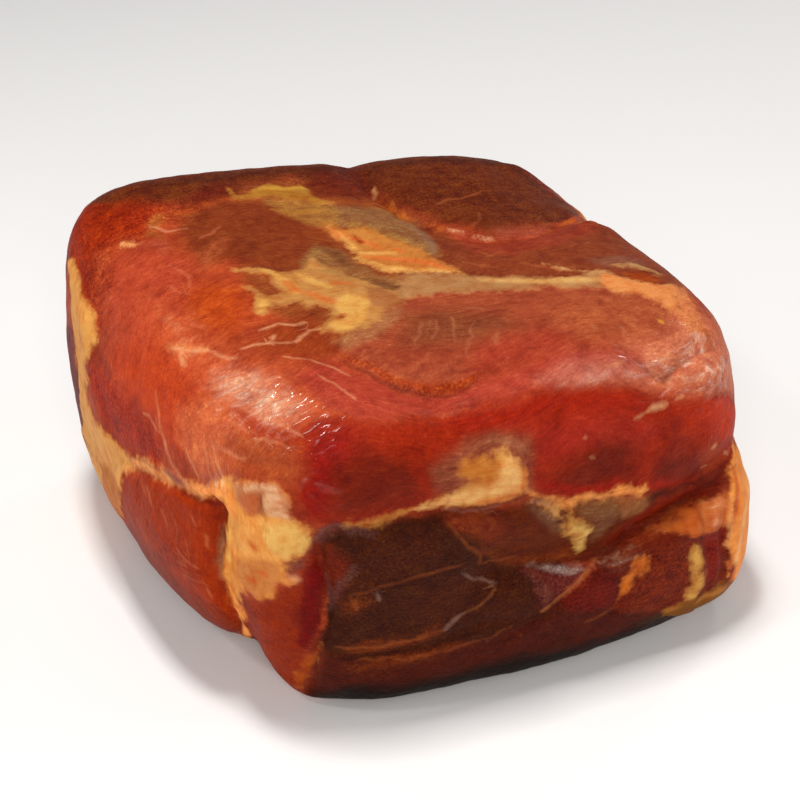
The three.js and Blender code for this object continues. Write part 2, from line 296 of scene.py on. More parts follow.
# Thin tissue over the lean: half clear, soft at its edges, and finer than the washes
TISSUES = [
    ("olive area", "#8b5c36", 2.0, 0.9, [
        [(316, 203), (347, 206), (381, 208), (400, 214), (420, 223), (432, 238), (440, 256), (424, 262), (405, 245),
         (386, 235), (365, 228), (331, 226), (312, 218)],
    ]),
    ("yellow in the olive area", "#a36e32", 2.0, 0.8, [
        [(345, 222, 1.0), (368, 230, 2.6), (395, 238, 2.6), (418, 246, 1.0)],
    ]),
    ("grey rim of the olive area", "#8a5f48", 1.5, 0.8, [
        [(404, 221, 0.8), (420, 228, 1.6), (429, 240, 1.6), (434, 252, 0.8)],
    ]),
    ("film between band and wedge", "#9a642c", 1.8, 0.85, [
        [(262, 198), (300, 200), (330, 202), (340, 212), (336, 226), (318, 228), (300, 222), (280, 212)],
    ]),
    ("channel", "#8f5f33", 1.8, 0.85, [
        [(300, 262), (314, 246), (340, 250), (358, 264), (378, 275), (402, 280), (422, 283), (416, 298), (395, 298),
         (370, 289), (345, 285), (322, 282), (306, 276)],
    ]),
    ("dark spots in the channel", "#704022", 1.8, 0.8, [
        [(320, 250, 1.0), (334, 254, 2.0), (346, 264, 1.6)],
        [(378, 280, 1.6), (390, 286, 2.2), (402, 290, 1.2)],
    ]),
    ("pale arc", "#a8502a", 2.0, 0.8, [
        [(206, 268, 0.8), (207, 254, 1.4), (216, 244, 1.8), (226, 240, 0.8)],
        [(216, 256, 0.6), (224, 246, 0.8)],
    ]),
    # Pale spot with a painted glint: the short second stroke is a painted glint
    ("pale spot and painted glint on the shoulder", "#dc8853", 2.0, 0.8, [
        [(168, 346, 0.6), (178, 348, 1.8), (192, 350, 1.0), (206, 350, 0.4)],
        [(181, 354, 0.9), (184, 364, 0.5)],
    ]),
    ("pale blotch on the left", "#a05824", 2.0, 0.7, [
        [(148, 222), (154, 214), (164, 213), (163, 222), (152, 230)],
        [(150, 232, 1.5), (162, 236, 1.0)],
    ]),
    ("pale flesh in the pink", "#b05038", 3.0, 0.6, [
        [(142, 244, 1.0), (156, 242, 2.2), (166, 250, 1.2)],
    ]),
    ("fading tail", "#cb7442", 2.0, 0.85, [
        [(668, 290), (684, 288), (696, 312), (712, 338), (704, 346), (690, 334), (672, 308)],
    ]),
    ("grey haze right of the tail", "#834a35", 2.5, 0.85, [
        [(590, 260), (608, 256), (625, 256), (645, 262), (640, 268), (612, 268), (598, 266)],
    ]),
    # Painted shadow: orange-brown under the edge patch
    ("painted shadow under the edge patch", "#963801", 1.0, 0.9, [
        [(622, 273), (645, 273), (668, 281), (652, 284), (632, 279)],
    ]),
    ("torn fibres below the lower patch", "#a2663f", 2.0, 0.75, [
        [(330, 342), (350, 334), (372, 322), (392, 308), (404, 310), (392, 326), (374, 340), (346, 352)],
    ]),
    ("haze round the fan", "#8e4e34", 3.0, 0.75, [
        [(436, 488), (430, 470), (446, 456), (458, 448), (470, 438), (500, 432), (528, 436), (534, 452), (530, 470),
         (534, 492), (520, 500), (450, 500)],
    ]),
    ("grey above the fan", "#ac6c48", 2.0, 0.7, [
        [(480, 444), (492, 436), (510, 438), (526, 442), (530, 450), (520, 452), (500, 446)],
    ]),
    ("orange streak left of the fan", "#901e04", 1.6, 0.8, [
        [(412, 454, 0.5), (416, 466, 1.4), (422, 480, 1.8), (428, 494, 1.2)],
    ]),
    ("grey skin left of the blob", "#7c5238", 2.0, 0.85, [
        [(526, 505), (546, 506), (560, 514), (562, 528), (552, 530), (540, 520)],
    ]),
    ("grey skin right of the blob", "#80502f", 2.0, 0.85, [
        [(575, 502), (596, 499), (616, 496), (618, 512), (604, 530), (592, 540), (588, 534), (596, 520), (580, 516)],
    ]),
    ("olive skin on the flap", "#9a6034", 2.0, 0.8, [
        [(616, 498), (640, 496), (650, 499), (640, 510), (622, 516)],
    ]),
    ("purple triangle", "#64201a", 1.2, 0.95, [
        [(517, 568), (540, 566), (566, 569), (592, 566), (579, 582), (560, 596), (543, 612), (537, 600), (535, 586),
         (526, 576)],
    ]),
    ("grey left of the triangle", "#683226", 1.4, 0.8, [
        [(526, 572, 0.6), (538, 582, 1.2), (546, 596, 1.6), (546, 604, 0.8)],
    ]),
    # Painted glint: a pale line along the top of the triangle
    ("painted glint along the top of the triangle", "#b89c94", 0.8, 0.85, [
        [(546, 568, 0.5), (560, 570, 0.9), (574, 569, 0.8), (584, 567, 0.4)],
    ]),
    ("lobe under the triangle", "#640c01", 2.0, 0.9, [
        [(560, 600), (584, 582), (600, 566), (616, 572), (622, 586), (616, 606), (596, 610), (570, 610)],
    ]),
    ("grey rim of the dark front", "#5c352f", 1.5, 0.8, [
        [(316, 542, 0.8), (324, 533, 1.6), (338, 527, 1.6), (352, 531, 1.2), (372, 534, 0.8)],
        [(330, 604, 0.8), (340, 586, 1.0), (354, 568, 0.8)],
    ]),
    ("purple below the corner patch", "#753a2c", 1.6, 0.85, [
        [(282, 562), (294, 557), (306, 556), (304, 566), (296, 572), (286, 572)],
    ]),
    ("pale lump below the corner patch", "#c98a70", 1.2, 0.9, [
        [(290, 577, 1.2), (295, 578, 1.4)],
    ]),
    ("grey edge left of the corner patch", "#9c6a48", 1.0, 0.8, [
        [(221, 530, 0.5), (219, 550, 0.9), (218, 566, 1.2), (220, 580, 0.6)],
    ]),
    ("granular rim of the step", "#a0380a", 1.2, 0.9, [
        [(345, 358, 0.4), (362, 365, 0.9), (395, 381, 1.1), (419, 388, 1.5), (440, 389, 1.5), (461, 386, 1.1),
         (475, 378, 0.6)],
    ]),
    ("smoky right foot", "#3c2410", 2.0, 0.9, [
        [(640, 624, 1.6), (660, 616, 2.2), (680, 610, 1.6)],
    ]),
]

# Fat, in the order of painting: name, colour, shapes
FAT = [
    ("seam on the left", "#e49856", [
        [(123, 458), (131, 453), (147, 458), (160, 467), (173, 475), (187, 485), (198, 487), (208, 484), (223, 477),
         (233, 475), (238, 482), (234, 492), (223, 503), (208, 498), (192, 493), (176, 489), (160, 483), (147, 473),
         (134, 469), (126, 478), (124, 466)],
        [(150, 463, 1.4), (172, 478, 1.8), (190, 489, 2.4), (208, 492, 2.8), (226, 486, 2.8)],
    ]),
    ("purple spot on the left seam", "#8e5648", [
        [(164, 470, 0.8), (174, 478, 1.8), (184, 484, 0.8)],
    ]),
    ("bright end of the left seam", "#f8a052", [
        [(196, 488), (208, 485), (222, 478), (234, 478), (236, 486), (226, 497), (212, 496), (200, 494)],
    ]),
    ("strip down the left", "#d8984a", [
        [(71, 256), (78, 264), (84, 290), (94, 308), (99, 327), (97, 343), (92, 358), (86, 369), (92, 383), (87, 388),
         (89, 403), (97, 420), (110, 434), (122, 449), (131, 455), (130, 463), (123, 475), (124, 490), (121, 502),
         (126, 517), (112, 512), (104, 490), (92, 462), (84, 435), (82, 412), (80, 387), (78, 362), (75, 340),
         (72, 315), (71, 290), (69, 264)],
        [(-88, 94, 60, 4.0), (-84, 95, 40, 5.0), (-80, 95, 26, 3.0)],
    ]),
    ("lower end of the strip", "#bc6a14", [
        [(100, 462), (110, 470), (118, 478), (121, 490), (120, 502), (126, 517), (114, 514), (106, 492)],
    ]),
    ("upper band", "#a06c24", [
        [(226, 184, 0.4), (230, 192, 0.7), (234, 197, 0.9)],
        [(231, 199), (238, 195), (247, 193), (258, 186), (268, 184), (285, 186), (300, 184), (308, 187), (311, 194),
         (322, 199), (334, 202), (318, 204), (300, 202), (280, 200), (262, 197), (246, 199), (232, 201)],
        [(274, 209, 0.7), (292, 212, 1.3), (318, 209, 1.6), (330, 206, 0.6)],
        [(312, 222, 0.8), (326, 224, 1.6), (338, 230, 1.6)],
    ]),
    ("bright ridge of the upper band", "#b88430", [
        [(248, 193, 0.4), (262, 189, 1.0), (280, 189, 1.4), (298, 188, 1.0), (306, 189, 0.4)],
    ]),
    ("wedge", "#b87432", [
        [(317, 228), (331, 225), (345, 230), (365, 227), (386, 235), (405, 243), (422, 249), (434, 256), (449, 265),
         (472, 275), (446, 276), (420, 275), (395, 272), (368, 268), (357, 260), (348, 249), (341, 242), (330, 236)],
    ]),
    ("pale lower edge of the wedge", "#dca456", [
        [(352, 256, 0.8), (362, 264, 1.6), (384, 270, 2.0), (410, 273, 2.0), (440, 274, 1.8), (466, 275, 1.2)],
        [(328, 230, 0.6), (344, 240, 1.2), (352, 250, 1.0)],
        [(352, 255, 0.4), (372, 255, 0.8), (392, 254, 0.6)],
    ]),
    ("orange streaks in the wedge", "#cc6c30", [
        [(366, 259, 0.6), (388, 260, 1.2), (410, 262, 1.4), (434, 266, 1.0), (448, 270, 0.4)],
        [(330, 231, 0.5), (338, 238, 0.7)],
        [(340, 233, 0.4), (352, 240, 0.6), (370, 244, 0.6), (380, 250, 0.3)],
        [(394, 250, 0.3), (402, 252, 0.6)],
    ]),
    ("red spots in the wedge", "#a03a12", [
        [(357, 240, 0.6), (360, 243, 0.6)],
        [(340, 243, 0.4), (343, 246, 0.4)],
    ]),
    ("lower patch", "#b47c40", [
        [(229, 269), (244, 268), (258, 267), (269, 270), (281, 272), (287, 272), (301, 267), (308, 260), (314, 256),
         (319, 263), (332, 267), (344, 271), (355, 276), (370, 282), (377, 287), (392, 291), (408, 296), (404, 307),
         (391, 310), (381, 319), (368, 330), (350, 334), (330, 335), (317, 331), (327, 321), (330, 309), (316, 308),
         (308, 310), (296, 303), (284, 306), (272, 309), (262, 316), (253, 314), (254, 304), (254, 294), (243, 286),
         (256, 288), (268, 296), (278, 292), (270, 282), (262, 276), (250, 273), (236, 273)],
    ]),
    ("olive end of the lower patch", "#a06436", [
        [(366, 290), (386, 293), (407, 298), (404, 307), (390, 310), (372, 308)],
    ]),
    ("brown at the top of the lower patch", "#a87840", [
        [(318, 264, 0.8), (334, 272, 1.4), (350, 280, 1.2)],
    ]),
    ("bright bits of the lower patch", "#cc984c", [
        [(336, 304), (346, 298), (360, 300), (368, 306), (364, 320), (352, 331), (338, 332), (332, 326), (340, 316)],
        [(254, 299), (264, 299), (268, 308), (256, 315)],
        [(262, 270, 0.6), (276, 275, 1.2), (288, 284, 1.2), (296, 294, 0.8)],
        [(300, 276, 0.6), (316, 284, 1.2), (330, 290, 0.8)],
    ]),
    ("orange streaks in the lower patch", "#c26228", [
        [(262, 276, 0.4), (268, 280, 0.6)],
        [(284, 282, 0.4), (292, 289, 0.8), (300, 293, 0.5)],
        [(334, 285, 0.5), (342, 286, 0.8), (350, 285, 0.4)],
        [(308, 294, 0.3), (322, 300, 0.6), (332, 304, 0.4)],
    ]),
    ("red spots in the lower patch", "#9a3c14", [
        [(339, 320, 0.6), (343, 318, 0.7)],
    ]),
    ("tail band", "#a67446", [
        [(395, 275), (433, 274), (470, 275), (510, 275), (544, 277), (570, 277), (587, 274), (604, 271), (619, 276),
         (640, 282), (660, 284), (676, 285), (680, 292), (674, 298), (668, 312), (655, 300), (640, 296), (621, 293),
         (600, 289), (578, 288), (553, 287), (527, 290), (497, 293), (470, 294), (446, 295), (416, 298), (404, 300),
         (396, 292)],
    ]),
    ("cream line of the tail band", "#c99858", [
        [(480, 280, 0.4), (510, 281, 1.0), (545, 282, 1.2), (580, 281, 1.2), (606, 280, 0.6)],
    ]),
    ("right end of the tail band", "#d18448", [
        [(602, 276), (619, 277), (640, 283), (660, 285), (676, 286), (680, 292), (676, 300), (682, 312), (672, 314),
         (655, 300), (640, 296), (621, 292), (604, 289)],
    ]),
    ("tail streak", "#c8945e", [
        [(540, 263, 0.4), (552, 267, 0.8), (565, 271, 1.0), (582, 273, 1.0), (600, 273, 0.8)],
    ]),
    ("edge patch", "#b08452", [
        [(610, 265), (630, 264), (648, 268), (668, 277), (654, 275), (634, 270), (618, 268)],
    ]),
    ("seam on the top", "#b65b17", [
        [(372, 199, 0.5), (386, 203, 1.2), (396, 209, 1.0), (408, 217, 0.9), (430, 224, 0.7), (448, 228, 0.6)],
        [(546, 231, 0.4), (560, 227, 0.9), (572, 222, 1.2), (584, 218, 1.4), (594, 216, 1.4)],
    ]),
    ("white of the seam on the top", "#d0a080", [
        [(448, 229, 0.1), (462, 231, 0.4), (474, 234, 0.6), (486, 237, 0.4), (496, 238, 0.1)],
    ]),
    ("dash on the left", "#eca668", [
        [(124, 244, 1.9), (134, 246, 1.9)],
    ]),
    ("corner patch", "#dd9040", [
        [(225, 478), (236, 478), (246, 480), (262, 481), (274, 483), (286, 494), (292, 504), (296, 518), (304, 523),
         (314, 531), (313, 543), (306, 552), (295, 559), (286, 563), (290, 573), (298, 581), (292, 586), (279, 584),
         (276, 596), (266, 601), (258, 601), (252, 593), (242, 592), (243, 608), (246, 624), (253, 640), (246, 638),
         (238, 626), (232, 612), (225, 596), (220, 578), (218, 561), (222, 549), (222, 533), (225, 519), (224, 504)],
    ]),
    ("orange edge of the corner patch", "#f6a04e", [
        [(228, 488, 1.0), (232, 508, 2.0), (234, 530, 1.8), (236, 550, 1.4)],
        [(230, 588, 0.8), (236, 604, 1.6), (241, 620, 1.6), (247, 634, 0.8)],
    ]),
    ("yellow along the left of the patch", "#ecb258", [
        [(227, 512, 0.6), (229, 535, 1.4), (230, 556, 1.2)],
    ]),
    ("skin over the corner patch", "#c07c50", [
        [(236, 486), (248, 483), (260, 482), (276, 486), (287, 498), (293, 510), (294, 522), (281, 523), (268, 519),
         (258, 516), (246, 510), (238, 500)],
    ]),
    ("brown skin left of the slit", "#b86238", [
        [(239, 496), (247, 494), (256, 496), (258, 504), (257, 515), (250, 514), (243, 505)],
    ]),
    # Cream skin with painted glints: the thin pale strokes stand for glints
    ("cream skin and painted glints right of the slit", "#dcae84", [
        [(263, 500, 0.1), (270, 496, 0.4), (278, 497, 0.2)],
        [(266, 507, 0.2), (274, 504, 0.5), (284, 507, 0.2)],
        [(270, 514, 0.2), (280, 512, 0.4), (289, 517, 0.2)],
        [(246, 487, 0.1), (262, 486, 0.3), (276, 489, 0.2)],
    ]),
    ("pale part of the corner patch", "#e09c4e", [
        [(232, 518), (262, 516), (296, 520), (310, 530), (313, 545), (302, 555), (284, 560), (256, 556), (236, 546)],
    ]),
    ("cream of the corner patch", "#daa85a", [
        [(262, 524), (276, 526), (292, 522), (304, 528), (311, 540), (302, 550), (290, 557), (278, 552), (268, 542)],
    ]),
    ("mottled foot of the corner patch", "#c47a3c", [
        [(240, 562), (258, 558), (280, 562), (282, 578), (274, 590), (258, 598), (246, 588), (240, 576)],
    ]),
    ("orange spots in the corner patch", "#c55c22", [
        [(253, 542, 0.6), (256, 545, 0.8)],
        [(262, 572, 0.5), (266, 574, 0.6)],
        [(250, 578, 0.5), (254, 580, 0.6)],
    ]),
    ("toe", "#a74a04", [
        [(321, 645), (304, 659), (294, 676), (300, 690), (309, 678), (313, 663), (321, 653)],
    ]),
    ("fan", "#d09248", [
        [(405, 511), (413, 507), (425, 501), (437, 495), (448, 492), (456, 488), (464, 482), (474, 476), (490, 460),
         (491, 449), (500, 447), (510, 450), (521, 457), (527, 470), (526, 484), (522, 494), (510, 499), (495, 502),
         (480, 505), (465, 507), (447, 508), (427, 510), (413, 513)],
    ]),
    ("orange lobe of the fan", "#bc742e", [
        [(455, 466), (462, 456), (478, 453), (492, 455), (500, 464), (494, 478), (482, 484), (468, 482), (458, 476)],
    ]),
    ("cream of the fan", "#deaa66", [
        [(502, 466), (509, 455), (518, 462), (521, 478), (513, 491), (498, 495), (484, 490), (492, 482)],
        [(420, 508, 0.6), (440, 502, 1.4), (462, 496, 1.8), (482, 489, 1.4)],
    ]),
    ("orange side of the fan", "#cc7230", [
        [(522, 464, 0.6), (524, 474, 1.0), (522, 486, 1.0)],
        [(478, 500, 0.4), (500, 497, 0.8), (516, 492, 0.6)],
    ]),
    ("tail of the fan", "#b57932", [
        [(405, 512, 1.0), (389, 518, 1.5), (370, 523, 1.8), (352, 526, 1.4), (340, 527, 0.6)],
    ]),
    ("band under the flap", "#dc8c48", [
        [(524, 488), (536, 492), (549, 497), (566, 496), (592, 493), (611, 491), (628, 486), (643, 483), (648, 492),
         (643, 497), (628, 497), (615, 498), (600, 501), (580, 502), (574, 508), (568, 514), (560, 510), (548, 504),
         (530, 500)],
    ]),
    ("bright end of the band", "#f2a050", [
        [(612, 491, 0.8), (628, 489, 1.6), (642, 488, 1.6)],
    ]),
    ("fold left of the blob", "#dca05c", [
        [(528, 502, 0.5), (545, 503, 1.0), (553, 509, 1.2), (562, 518, 1.4)],
    ]),
    ("blob", "#c08840", [
        [(560, 525), (566, 513), (575, 519), (586, 520), (594, 521), (593, 528), (586, 536), (587, 549), (579, 554),
         (571, 549), (569, 538), (562, 532)],
    ]),
    ("bright skin of the blob", "#cfa85c", [
        [(574, 526, 0.8), (588, 525, 1.2), (580, 536, 1.0), (578, 548, 1.0)],
    ]),
    ("lobe patch", "#c86a1e", [
        [(636, 556), (650, 557), (648, 570), (635, 579), (629, 593), (616, 607), (616, 590), (622, 576), (630, 568)],
    ]),
    ("right corner", "#be5c20", [
        [(650, 530), (660, 519), (675, 508), (694, 500), (714, 496), (734, 486), (736, 510), (727, 523), (712, 532),
         (692, 540), (682, 534), (665, 532)],
    ]),
    ("pink in the right corner", "#d67c42", [
        [(700, 503, 0.8), (714, 502, 1.8), (724, 504, 1.0)],
        [(700, 510, 0.4), (699, 526, 0.8)],
        [(712, 508, 0.5), (712, 522, 0.8)],
    ]),
    ("brown lines in the right corner", "#9c4820", [
        [(696, 509, 0.3), (699, 520, 0.5), (700, 530, 0.3)],
        [(664, 524, 0.4), (674, 518, 0.5), (682, 518, 0.3)],
    ]),
    ("right edge", "#ee9440", [
        [(731, 440), (740, 450), (760, 470), (760, 540), (748, 575), (738, 592), (728, 588), (726, 578), (732, 566),
         (728, 555), (725, 545), (728, 513), (729, 483)],
        [(97, -72, 60, 4.0), (97, -62, 45, 5.0), (97, -70, 28, 4.0)],
        [(97, -66, 52, 3.0), (97, -45, 46, 4.5), (97, -20, 40, 4.0), (96, 5, 44, 2.0)],
    ]),
    ("red streaks of the right edge", "#cc6228", [
        [(733, 468, 0.4), (735, 486, 0.9), (733, 512, 0.8), (730, 530, 0.4)],
        [(728, 560, 0.5), (731, 572, 1.2), (728, 584, 0.8)],
    ]),
    ("cream of the right edge", "#eeb070", [
        [(740, 448, 0.5), (743, 478, 0.9), (742, 510, 0.9), (738, 540, 1.0), (735, 560, 0.7)],
    ]),
    ("pale line of the right edge", "#e69c58", [
        [(730, 500, 0.5), (728, 520, 1.0), (727, 545, 1.0)],
    ]),
    ("cream strip on the right", "#ba8038", [
        [(692, 542), (701, 541), (703, 564), (705, 585), (695, 599), (684, 602), (686, 585), (690, 570), (688, 555)],
    ]),
    ("lumps on the cream strip", "#ce9848", [
        [(694, 547, 1.0), (696, 560, 1.2)],
        [(694, 574, 1.2), (698, 582, 1.2)],
        [(690, 594, 1.0), (693, 596, 1.0)],
    ]),
    ("right foot", "#7e4c08", [
        [(734, 580), (728, 590), (716, 597), (700, 606), (684, 614), (660, 618), (664, 608), (680, 604), (696, 598),
         (712, 588), (724, 580)],
    ]),
    ("lumps on the right foot", "#ac6c2a", [
        [(698, 600, 0.8), (714, 592, 1.2), (728, 583, 1.0)],
        [(664, 610, 0.8), (676, 607, 0.8)],
    ]),
    ("film on the right side", "#a8683a", [
        [(96, 70, 84, 1.0), (94, 60, 92, 2.5), (93, 40, 98, 2.0), (93, 20, 100, 1.0)],
        [(97, -30, 56, 1.0), (97, -10, 54, 2.0), (97, 15, 52, 1.5)],
    ]),
    ("film on the back", "#a8683a", [
        [(-70, 95, 66, 1.0), (-50, 97, 64, 2.5), (-25, 98, 62, 1.5)],
        [(14, 96, 96, 1.0), (24, 96, 84, 2.5), (30, 97, 72, 1.5)],
    ]),
    ("fat low on the right side", "#cf8a45", [
        [(96, 60, 30, 4.0), (97, 35, 38, 6.0), (97, 5, 44, 5.0)],
        [(94, -10, 88, 5.0), (92, 15, 95, 8.0), (92, 35, 90, 4.0), (90, 52, 92, 2.0)],
        [(94, 82, 70, 3.0), (90, 88, 60, 4.0)],
    ]),
    ("fat on the back", "#d0903f", [
        [(60, 97, 45, 3.0), (30, 98, 52, 6.0), (0, 98, 50, 7.0), (-35, 98, 46, 5.0), (-60, 97, 50, 2.0)],
        [(-45, 96, 92, 5.0), (-20, 97, 88, 8.0), (0, 97, 94, 5.0)],
        [(40, 96, 15, 2.0), (10, 97, 20, 4.0), (-20, 96, 14, 2.5)],
    ]),
    ("seam fat on the back", "#c9743a", [
        [(66, 95, 57, 1.5), (30, 98, 61, 2.0), (-20, 98, 57, 2.0), (-64, 96, 56, 1.5)],
    ]),
]

